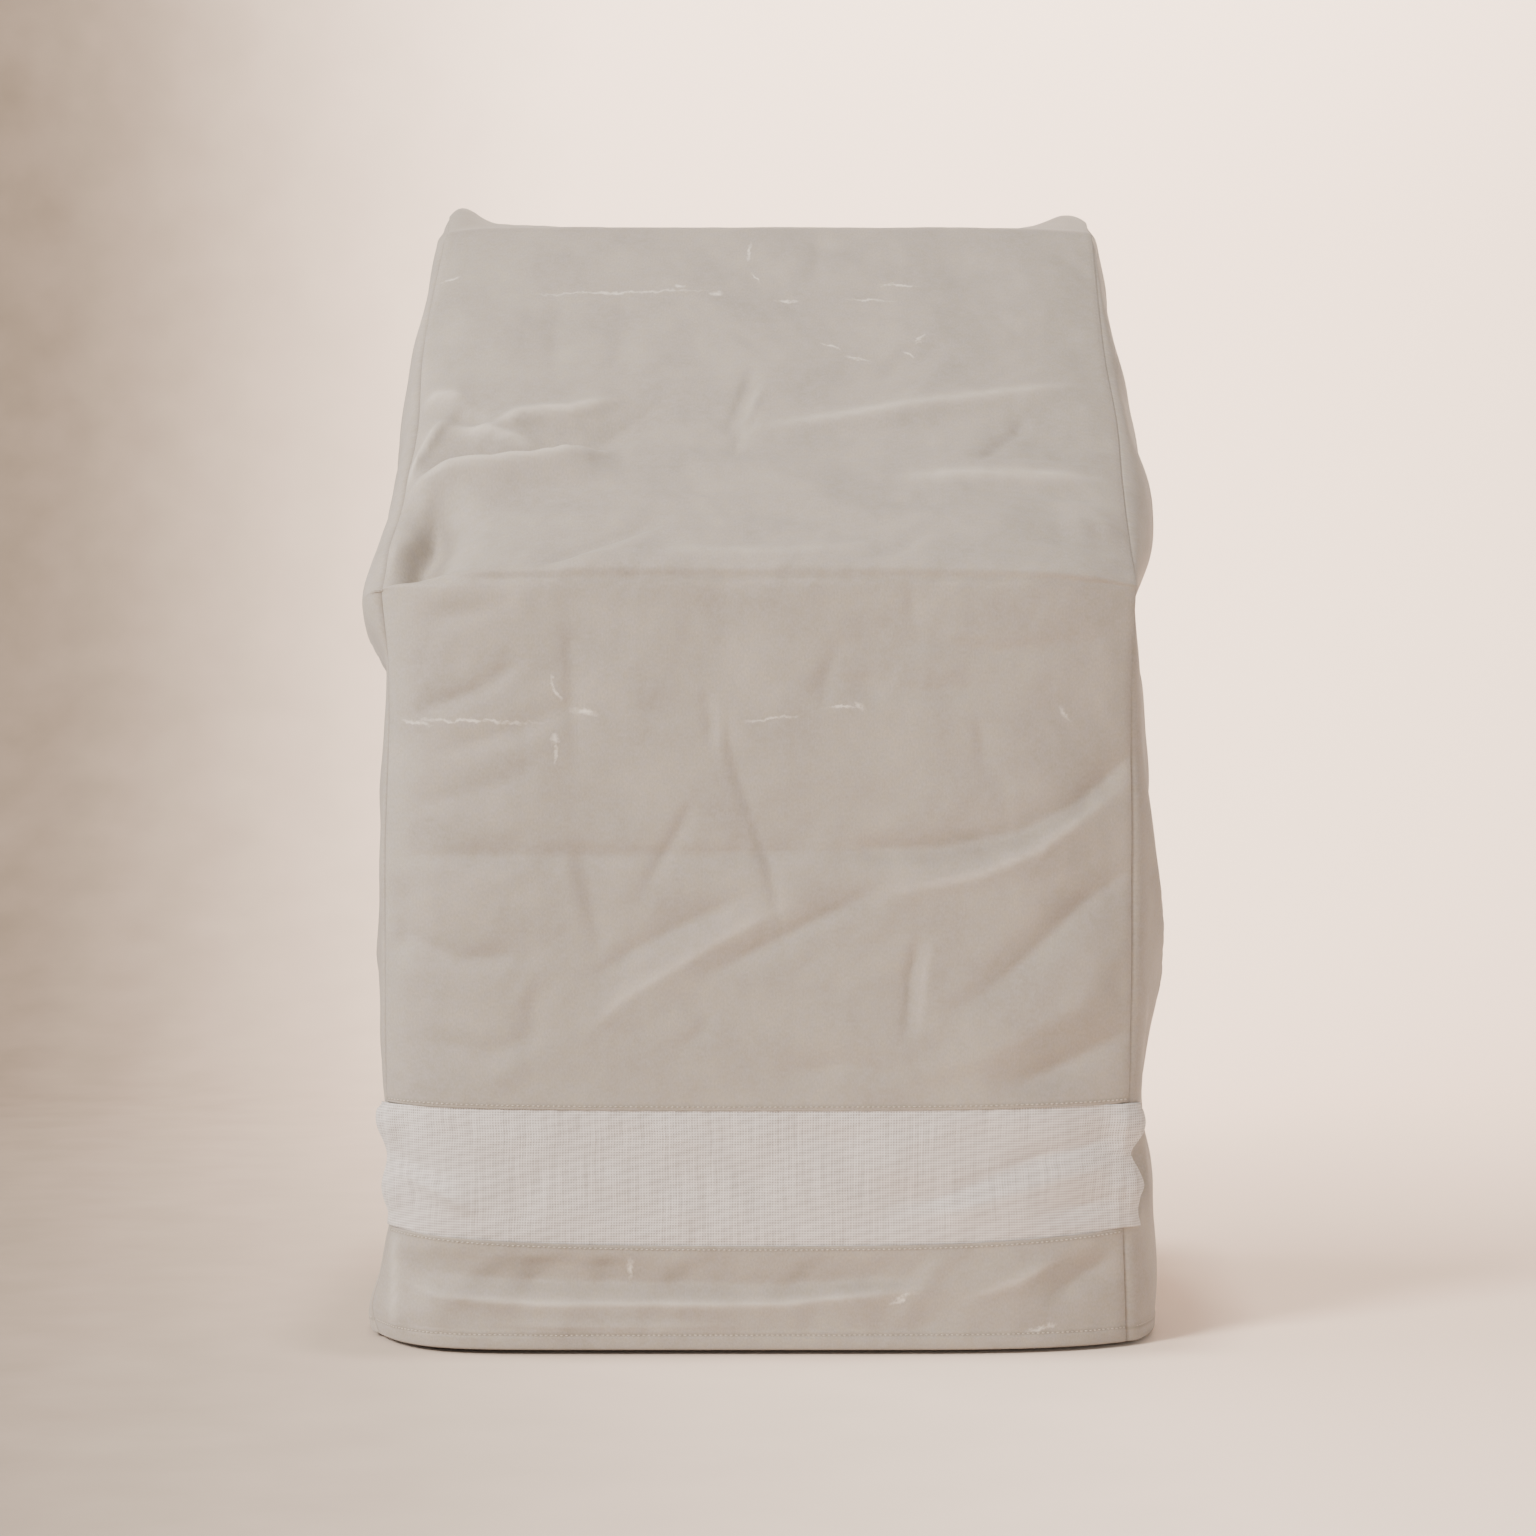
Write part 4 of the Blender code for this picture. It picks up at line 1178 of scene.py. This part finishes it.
@dataclass(frozen=True)
class StitchRow:
    """A row of lockstitches: short round beads of thread that sink into the cloth at both ends.

    Attributes:
        name: name of the row.
        pitch: length from stitch to stitch, a little longer than real so that it shows.
        length: length of the thread that shows.
        thickness: width of the thread.
        rings: rings of points along a stitch.
        sides: points round a ring.
    """

    name: str
    pitch: float = 0.0046
    length: float = 0.0032
    thickness: float = 0.0013
    rings: int = 5
    sides: int = 6

    def build(self, place: Place, first: Array, share: Array, look: Look) -> Piece:
        """Lays the row along a line of a cloth.

        Each bead is a ring profile, radius as the root of 1 - t^2, carried along the line's
        tangent and raised by a parabola, so that its ends dip under the surface.

        Args:
            place: the cloth's own function.
            first: its first parameter along the line.
            share: its second parameter along the line.
            look: the material.

        Returns:
            The row as one piece.
        """
        middle = place(first, share)
        nudge = 1e-3
        up = place(first + nudge, share) - middle
        run = np.concatenate([[0], np.cumsum(np.linalg.norm(np.diff(middle, axis=0), axis=1))])
        places = np.arange(self.pitch / 2, run[-1], self.pitch)
        centre, along, rise = (
            np.stack([np.interp(places, run, line) for line in lines.T], 1)
            for lines in (middle, np.gradient(middle, run, axis=0), up)
        )
        along /= np.linalg.norm(along, axis=1)[:, None]
        out = np.cross(along, rise)
        out /= np.linalg.norm(out, axis=1)[:, None]
        across = np.cross(out, along)
        t = np.linspace(-0.98, 0.98, self.rings)
        turn = np.arange(self.sides) * 2 * np.pi / self.sides
        radius = self.thickness / 2 * np.sqrt(1 - t**2)
        forward = np.repeat(t * self.length / 2, self.sides)
        sideways = (radius[:, None] * np.cos(turn)).ravel()
        dip = self.thickness * (0.30 - 0.5 * t[:, None] ** 2)
        upward = (radius[:, None] * np.sin(turn) + dip).ravel()
        bead = (
            centre[:, None]
            + forward[:, None] * along[:, None]
            + sideways[:, None] * across[:, None]
            + upward[:, None] * out[:, None]
        )
        index = np.arange(self.rings * self.sides).reshape(self.rings, self.sides)
        ring = np.stack([index[:-1], index[1:], np.roll(index, -1, 1)[1:], np.roll(index, -1, 1)[:-1]], -1)
        caps = np.array([[0, 1, 2, 3], [3, 4, 5, 0]])
        last = index[-1][0]
        faces = np.concatenate([ring.reshape(-1, 4), caps, last + caps[:, ::-1]])
        faces = (faces[None] + (np.arange(len(places)) * index.size)[:, None, None]).reshape(-1, 4)
        return show(self.name, mesh_of(self.name, bead.reshape(-1, 3), faces), look, Slot.CANVAS)


def linear(colour: str) -> tuple[float, float, float, float]:
    """Linear colour from an sRGB hex value such as #A0B0C0.

    Args:
        colour: the hex value.

    Returns:
        Red, green, blue and 1.
    """
    parts = np.array([int(colour[i : i + 2], 16) for i in (1, 3, 5)]) / 255
    light = np.where(parts <= 0.04045, parts / 12.92, ((parts + 0.055) / 1.055) ** 2.4)
    return (*light.tolist(), 1.0)


def add(tree: Tree, kind: str, settings: dict | None = None, links: dict | None = None) -> Node:
    """Adds one node with its settings and links.

    Args:
        tree: the material's or world's nodes.
        kind: the node's type, without its prefix.
        settings: values by the name of a property, or by the name or number of an input.
        links: outputs by the name or number of the input they go to; a node gives its first output.

    Returns:
        The node.
    """
    node = tree.nodes.new("ShaderNode" + kind)
    for key, value in (settings or {}).items():
        if isinstance(key, int) or key in node.inputs:
            node.inputs[key].default_value = value
        else:
            setattr(node, key, value)
    for key, source in (links or {}).items():
        output = source.outputs[0] if isinstance(source, Node) else source
        tree.links.new(output, node.inputs[key])
    return node


def noise(tree: Tree, scale: float, detail: float, rough: float, places: Source, bend: float = 0.0) -> Node:
    """Noise at places; bend is how far it distorts itself."""
    settings = {"Scale": scale, "Detail": detail, "Roughness": rough, "Distortion": bend}
    return add(tree, "TexNoise", settings, {"Vector": places})


def remap(tree: Tree, value: Source, low: float, high: float, start: float = 0.0, end: float = 1.0) -> Node:
    """Value taken from low to high on to start to end, and held there outside."""
    settings = {"From Min": low, "From Max": high, "To Min": start, "To Max": end}
    return add(tree, "MapRange", settings, {"Value": value})


def maths(tree: Tree, operation: str, *values: float | Source) -> Node:
    """Adds one calculation.

    Args:
        tree: the material's nodes.
        operation: what is calculated.
        values: its values in order, each a number, a node or an output.

    Returns:
        The node.
    """
    numbers = {place: value for place, value in enumerate(values) if isinstance(value, float)}
    links = {place: value for place, value in enumerate(values) if not isinstance(value, float)}
    return add(tree, "Math", {"operation": operation, **numbers}, links)


def mix(
    tree: Tree, share: float | Source, first: str | Source, second: str | Source, kind: str = "MIX"
) -> Socket:
    """Mixes two colours.

    Args:
        tree: the material's nodes.
        share: share of the second colour.
        first: a hex colour, a node or an output.
        second: the same.
        kind: how they are mixed.

    Returns:
        The output with the colour.
    """
    settings, links = {"data_type": "RGBA", "blend_type": kind}, {}
    for place, value in {0: share, 6: first, 7: second}.items():
        if isinstance(value, (str, float)):
            settings[place] = linear(value) if isinstance(value, str) else value
        else:
            links[place] = value
    return add(tree, "Mix", settings, links).outputs[2]


def bump(tree: Tree, strength: float, distance: float, height: Source, under: Node | None = None) -> Node:
    """Relief in the shading, on top of another one where it is given."""
    links = {"Height": height} | ({"Normal": under} if under else {})
    return add(tree, "Bump", {"Strength": strength, "Distance": distance}, links)


def waves(tree: Tree, pitch: float, places: Source, **settings: float | str) -> Socket:
    """Brightness of waves a pitch apart; the node's own scale of 0.314 gives waves 1 m apart."""
    return add(tree, "TexWave", {"Scale": 0.314 / pitch, **settings}, {"Vector": places}).outputs[1]


def cloth_places(tree: Tree, **change: tuple) -> Node:
    """Places on the flat cloth, scaled or turned where a change is given."""
    flat = add(tree, "UVMap", {"uv_map": CLOTH_MAP})
    return add(tree, "Mapping", change, {"Vector": flat}) if change else flat


def material(name: str) -> tuple[Look, Tree]:
    """A new material with an empty node tree.

    Args:
        name: name of the material.

    Returns:
        The material and its nodes.
    """
    look = bpy.data.materials.new(name)
    look.use_nodes = True
    look.node_tree.nodes.clear()
    return look, look.node_tree


def surface(tree: Tree, settings: dict, colour: Source, normal: Node | None = None) -> None:
    """Ends a material with its surface."""
    links = {"Base Color": colour} | ({"Normal": normal} if normal else {})
    add(tree, "OutputMaterial", None, {"Surface": add(tree, "BsdfPrincipled", settings, links)})


@dataclass(frozen=True)
class WearMark:
    """A pale rub mark on the coating: a spindle on the flat cloth, seen from the front.

    Attributes:
        x: place across.
        z: height on the filled cover.
        length: length of the spindle.
        width: width of the spindle.
        angle: turn from level, in degrees.
    """

    x: float
    z: float
    length: float
    width: float
    angle: float


WEAR_MARKS = (
    WearMark(-0.316, 1.0127, 0.030, 0.0060, 12),
    WearMark(-0.145, 0.9918, 0.230, 0.0062, 1),
    WearMark(-0.0867, 0.9976, 0.016, 0.0085, -8),
    WearMark(-0.0513, 0.9895, 0.020, 0.0095, 10),
    WearMark(-0.0190, 1.0400, 0.040, 0.0050, 86),
    WearMark(-0.0120, 1.0100, 0.030, 0.0050, 120),
    WearMark(0.0180, 0.9840, 0.030, 0.0055, 2),
    WearMark(0.0995, 0.9830, 0.066, 0.0058, -2),
    WearMark(0.1300, 1.0000, 0.052, 0.0056, -4),
    WearMark(0.1180, 1.0010, 0.020, 0.0070, 30),
    WearMark(0.0600, 0.9330, 0.030, 0.0060, -32),
    WearMark(0.0860, 0.9180, 0.034, 0.0060, -18),
    WearMark(0.1470, 0.9380, 0.026, 0.0048, 60),
    WearMark(0.1360, 0.9230, 0.020, 0.0048, -40),
    WearMark(-0.2619, 0.5649, 0.160, 0.0052, -1),
    WearMark(-0.3150, 0.5640, 0.044, 0.0050, -12),
    WearMark(-0.1897, 0.5488, 0.014, 0.0130, 0),
    WearMark(-0.1890, 0.5400, 0.032, 0.0056, 88),
    WearMark(-0.1900, 0.5940, 0.036, 0.0052, -66),
    WearMark(-0.1648, 0.5733, 0.036, 0.0090, -6),
    WearMark(0.0040, 0.5670, 0.070, 0.0048, 5),
    WearMark(0.0828, 0.5782, 0.018, 0.0090, -50),
    WearMark(0.0660, 0.5770, 0.034, 0.0044, 3),
    WearMark(0.2663, 0.5711, 0.022, 0.0070, -50),
    WearMark(-0.1229, 0.0764, 0.028, 0.0060, 88),
    WearMark(0.1203, 0.0510, 0.038, 0.0060, 22),
    WearMark(0.2441, 0.0219, 0.042, 0.0056, 15),
)


@dataclass(frozen=True)
class CoatedCanvas:
    """Polyester canvas with a thin matt coating, faded by the sun.

    To the eye it is a soft grey-beige with a fine even grain, faint pinkish and greenish
    clouds, a dull sheen, fold crests paler by rubbing and by painted highlight, painted shade
    as darker lines along the stitches, and a few pale rub marks where it was folded.
    """

    base: str = "#958B7E"
    cool: str = "#8F8782"
    shade: str = "#877E73"
    # pale colour of rub marks and of fold crests, which are partly rubbed and partly painted highlight
    rubbed_and_painted_light: str = "#D6CCC0"
    # colour of the painted shade in the grooves along the stitches
    drawn: str = "#6C6458"
    roughness: float = 0.68
    sheen: float = 0.12
    thread: float = 0.0012
    form: CoverForm | None = None

    def build(self) -> Look:
        """Makes the material: clouds, tint, grain, rub marks and painted crest highlight, painted shade
        along the stitch lines, then the relief.

        Returns:
            The material.
        """
        look, tree = material("coated_canvas")
        flat = cloth_places(tree)
        mottle = noise(tree, 120.0, 4.0, 0.7, flat)
        grain = noise(tree, 620.0, 3.0, 0.65, cloth_places(tree, Scale=(1.0, 0.55, 1.0)))
        clouds = remap(tree, noise(tree, 14.0, 6.0, 0.62, flat), 0.35, 0.65)
        tint = maths(tree, "MULTIPLY", remap(tree, mottle, 0.40, 0.62), 0.62)
        tinted = mix(tree, tint, mix(tree, clouds, self.base, self.shade), self.cool)
        grained = mix(tree, 1.0, tinted, remap(tree, grain, 0.25, 0.75, 0.86, 1.12), "MULTIPLY")
        # pale rub marks, and fold crests paler by rubbing and by painted highlight
        rubbed_and_painted_light = mix(tree, self.rubbing_and_highlight(tree, flat, mottle), grained, self.rubbed_and_painted_light)
        # stitched lines darkened with painted shade in their grooves
        crest = add(tree, "Attribute", {"attribute_name": RUB_AND_PAINTED_LIGHT}).outputs[2]
        drawn = mix(tree, remap(tree, crest, 0.0, -1.0, 0.0, 0.55), rubbed_and_painted_light, self.drawn)
        warp, weft = (
            waves(tree, self.thread, flat, bands_direction=axis, Distortion=0.6) for axis in "XY"
        )
        weave = bump(tree, 0.10, 0.0003, maths(tree, "MULTIPLY", warp, weft))
        fine = bump(tree, 0.30, 0.0006, grain, weave)
        soft = bump(tree, 0.16, 0.0030, noise(tree, 26.0, 5.0, 0.55, flat, 1.2), fine)
        gloss = {"Sheen Weight": self.sheen, "Sheen Roughness": 0.5, "IOR": 1.45}
        surface(tree, {"Roughness": self.roughness, **gloss}, drawn, soft)
        return look

    def rubbing_and_highlight(self, tree: Tree, flat: Node, patches: Node) -> Node:
        """How far the coating is rubbed, and painted highlight: the marks, broken up by noise, and the fold
        crests, which are partly rubbed and partly painted highlight.

        Args:
            tree: the material's nodes.
            flat: the places on the flat cloth.
            patches: a noise that breaks the marks.

        Returns:
            The node that gives the share.
        """
        jitter = noise(tree, 90.0, 4.0, 0.6, flat).outputs[1]
        centred = add(tree, "VectorMath", {"operation": "SUBTRACT", 1: (0.5, 0.5, 0.5)}, {0: jitter})
        scaled = add(tree, "VectorMath", {"operation": "SCALE", "Scale": 0.014}, {0: centred})
        bent = add(tree, "VectorMath", {"operation": "ADD"}, {0: flat, 1: scaled})
        total = None
        for mark in WEAR_MARKS:
            settings = {
                "vector_type": "TEXTURE",
                "Location": (mark.x, float(self.form.run_of(mark.z)), 0.0),
                "Rotation": (0.0, 0.0, float(np.radians(mark.angle))),
                "Scale": (mark.length / 2, mark.width / 2, 1.0),
            }
            spindle = add(tree, "Mapping", settings, {"Vector": bent})
            share = add(tree, "TexGradient", {"gradient_type": "SPHERICAL"}, {"Vector": spindle})
            total = maths(tree, "MAXIMUM", total or share, share)
        lines = remap(tree, total, 0.15, 0.85, 0.0, 0.60)
        marks = maths(tree, "MULTIPLY", lines, remap(tree, patches, 0.32, 0.54))
        # fold crests: rubbing and painted highlight
        crest = add(tree, "Attribute", {"attribute_name": RUB_AND_PAINTED_LIGHT}).outputs[2]
        return maths(tree, "MAXIMUM", marks, maths(tree, "MULTIPLY", crest, 0.35))


@dataclass(frozen=True)
class VentMesh:
    """Woven polyester vent mesh, pale lavender grey.

    To the eye it is an open grid of round threads, some upright ones thicker than the rest,
    with faint slanting ripples where the weave is drawn askew. The threads stand 2.4 mm apart.
    """

    thread: str = "#C4BDB9"
    gap: str = "#877F79"
    pitch: float = 0.0024
    ripple: float = 0.0085
    roughness: float = 0.75

    def build(self) -> Look:
        """Makes the material: crossed threads, thick and thin ones, and slanting ripples.

        Returns:
            The material.
        """
        look, tree = material("vent_mesh")
        flat = cloth_places(tree)
        wave = {"Distortion": 0.5, "Detail": 1.0, "Detail Scale": 0.4}
        warp, weft = (waves(tree, self.pitch, flat, bands_direction=axis, **wave) for axis in "XY")
        slubs = noise(tree, 330.0, 2.0, 0.6, cloth_places(tree, Scale=(1.0, 0.05, 1.0)))
        knots = noise(tree, 300.0, 2.0, 0.6, cloth_places(tree, Scale=(0.07, 1.0, 1.0)))
        slant = cloth_places(tree, Rotation=(0.0, 0.0, 1.25))
        ripple = waves(tree, self.ripple, slant, Distortion=1.6, **{"Detail Scale": 0.3})
        uneven = maths(tree, "MULTIPLY_ADD", slubs, 0.95, maths(tree, "MAXIMUM", warp, weft))
        grid = maths(tree, "MULTIPLY_ADD", knots, 0.30, uneven)
        share = maths(tree, "MULTIPLY_ADD", ripple, 0.20, remap(tree, grid, 0.92, 1.72))
        gloss = {"Sheen Weight": 0.2, "Sheen Roughness": 0.5, "IOR": 1.45}
        colour = mix(tree, share, self.gap, self.thread)
        surface(tree, {"Roughness": self.roughness, **gloss}, colour, bump(tree, 0.35, 0.0007, grid))
        return look


@dataclass(frozen=True)
class SewingThread:
    """Spun polyester thread, dyed to match: a dull round bead with fine twist."""

    base: str = "#B7ADA1"
    dark: str = "#978C7F"
    roughness: float = 0.6

    def build(self) -> Look:
        """Makes the material: one noise for the twist and its shade.

        Returns:
            The material.
        """
        look, tree = material("sewing_thread")
        twist = noise(tree, 900.0, 2.0, 0.5, add(tree, "TexCoord").outputs["Object"])
        colour = mix(tree, twist, self.base, self.dark)
        surface(tree, {"Roughness": self.roughness}, colour, bump(tree, 0.3, 0.0002, twist))
        return look


@dataclass(frozen=True)
class BackdropPaper:
    """Matt studio paper, warm and pale, with painted shade that makes it darker towards the left."""

    light: str = "#F9E3D1"
    # colour of the painted shade towards the left
    dark: str = "#6C5F51"
    roughness: float = 0.9

    def build(self) -> Look:
        """Makes the material: a smooth step across into painted shade at the left, a little clouded.

        Returns:
            The material.
        """
        look, tree = material("backdrop_paper")
        places = add(tree, "TexCoord").outputs["Object"]
        across = add(tree, "VectorMath", {"operation": "DOT_PRODUCT", 1: (1.0, 0.158, 0.0)}, {0: places})
        # painted shade: the paper darkens smoothly towards the left
        step = {"interpolation_type": "SMOOTHSTEP", "From Min": -0.97, "From Max": 0.40}
        share = add(tree, "MapRange", step, {"Value": across.outputs[1]})
        uneven = maths(tree, "MULTIPLY_ADD", noise(tree, 9.0, 5.0, 0.5, places), 0.12, share)
        surface(tree, {"Roughness": self.roughness}, mix(tree, uneven, self.dark, self.light))
        return look


@dataclass(frozen=True)
class Studio:
    """Paper sweep, soft lights and camera.

    Attributes:
        lens: focal length for a 36 mm wide picture.
        distance: from the camera to the front of the cover.
        eye: height of the camera.
        wall: how far behind the cover the paper stands upright.
        half_width: half the paper's width.
        curve: radius of its turn from floor to wall.
        reach: how far it comes forward, and how high it stands.
    """

    form: CoverForm
    lens: float = 81.56
    distance: float = 3.1
    eye: float = 0.523
    wall: float = 3.6
    half_width: float = 7.0
    curve: float = 1.6
    reach: float = 7.0

    def sweep(self, look: Look) -> None:
        """Floor and wall in one sheet: a straight run, a quarter circle and an upright.

        Args:
            look: the material.
        """
        turn = np.linspace(0, np.pi / 2, 25)
        bend = self.wall - self.curve + self.curve * np.sin(turn)
        y = np.concatenate([[-self.reach, -2.0], bend, [self.wall]])
        z = np.concatenate([[0.0, 0.0], self.curve - self.curve * np.cos(turn), [self.reach]])
        x = np.array([-self.half_width, self.half_width])
        points = np.stack([np.tile(x, (len(y), 1)), np.tile(y[:, None], 2), np.tile(z[:, None], 2)], -1)
        index = np.arange(len(y) * 2).reshape(-1, 2)
        corners = np.stack([index[:-1, 0], index[:-1, 1], index[1:, 1], index[1:, 0]], -1)
        mesh = mesh_of("paper_sweep", points.reshape(-1, 3), corners)
        mesh.materials.append(look)
        paper = bpy.data.objects.new("paper_sweep", mesh)
        bpy.context.scene.collection.objects.link(paper)
        paper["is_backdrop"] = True

    def lamp(self, name: str, place: tuple, target: tuple, size: float, power: float, colour: str) -> None:
        """A square soft light at a place, turned to a target.

        Args:
            name: name of the light.
            place: where it is.
            target: what it points at.
            size: its side.
            power: its power in watts.
            colour: its hex colour.
        """
        data = bpy.data.lights.new(name, "AREA")
        data.shape, data.size, data.energy = "SQUARE", size, power
        data.color = linear(colour)[:3]
        light = bpy.data.objects.new(name, data)
        aim = np.array(target) - np.array(place)
        pitch = np.arctan2(np.hypot(aim[0], aim[1]), -aim[2])
        light.rotation_euler = (pitch, 0.0, np.arctan2(aim[1], aim[0]) - np.pi / 2)
        light.location = place
        bpy.context.scene.collection.objects.link(light)

    def lights(self) -> None:
        """A soft light high at the front left, one overhead, weak ones from the sides, and pale air."""
        self.lamp("key", (-2.45, -2.95, 2.4), (0.0, 0.0, 0.6), 1.1, 285.0, "#FFF9F2")
        self.lamp("front", (0.4, -4.2, 0.9), (0.0, 0.0, 0.5), 1.5, 78.0, "#FFF9F3")
        self.lamp("overhead", (0.0, -0.21, 4.5), (0.0, -0.2, 0.0), 0.35, 110.0, "#FFF8F0")
        self.lamp("left", (-3.2, 0.2, 1.3), (0.0, 0.0, 0.6), 1.8, 120.0, "#FFFAF5")
        self.lamp("right", (3.2, -0.4, 1.1), (0.0, 0.0, 0.5), 1.8, 28.0, "#FFFCFA")
        self.lamp("backdrop", (0.6, 1.5, 3.4), (0.6, 4.5, 2.2), 2.6, 300.0, "#FFF4EA")
        world = bpy.data.worlds.new("air")
        bpy.context.scene.world = world
        world.use_nodes = True
        world.node_tree.nodes.clear()
        air = add(world.node_tree, "Background", {"Color": linear("#F6EEE6"), "Strength": 0.26})
        add(world.node_tree, "OutputWorld", None, {"Surface": air})

    def camera(self) -> None:
        """Camera level with the middle of the cover, straight in front of it."""
        data = bpy.data.cameras.new("camera")
        data.lens, data.sensor_width = self.lens, 36.0
        camera = bpy.data.objects.new("camera", data)
        camera.location = (-self.form.origin_x, -self.distance - self.form.origin_depth, self.eye)
        camera.rotation_euler = (np.pi / 2, 0.0, 0.0)
        bpy.context.scene.collection.objects.link(camera)
        bpy.context.scene.camera = camera


def main() -> None:
    """Builds the cover's cloths and stitches, then the studio, and works out both boxes."""
    logging.basicConfig(level=logging.INFO, format="%(message)s")
    form = CoverForm()
    canvas, mesh, thread = CoatedCanvas(form=form).build(), VentMesh().build(), SewingThread().build()
    strip, skirt, band = MainStrip(form), FrontSkirt(form), VentBand(form)
    main_cloth = strip.build(canvas)
    strip.cloth.declare(main_cloth, "draped", [], strip.stitches(thread))
    for side in Side:
        name = "side_cloth_" + side.name.lower()
        node = "side_panel_" + side.name.lower()
        cloth = Cloth(name, node, Slot.CANVAS, CANVAS_THICKNESS, (0.70, 1.12), 0.523)
        panel = SidePanel(form, side, cloth)
        cloth.declare(panel.build(canvas), "hung", [main_cloth], panel.stitches(thread))
    mesh_band = band.build(mesh)
    band.cloth.declare(mesh_band, "hung", [main_cloth], [])
    skirt.cloth.declare(skirt.build(canvas), "hung", [mesh_band], skirt.stitches(thread))
    studio = Studio(form)
    studio.sweep(BackdropPaper().build())
    studio.lights()
    studio.camera()
    boxes = {"cad": CAD_BOX, "visual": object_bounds()}
    boxes = {name: [[float(v) for v in corner] for corner in box] for name, box in boxes.items()}
    log.info("boxes written")


if __name__ == "__main__":
    main()
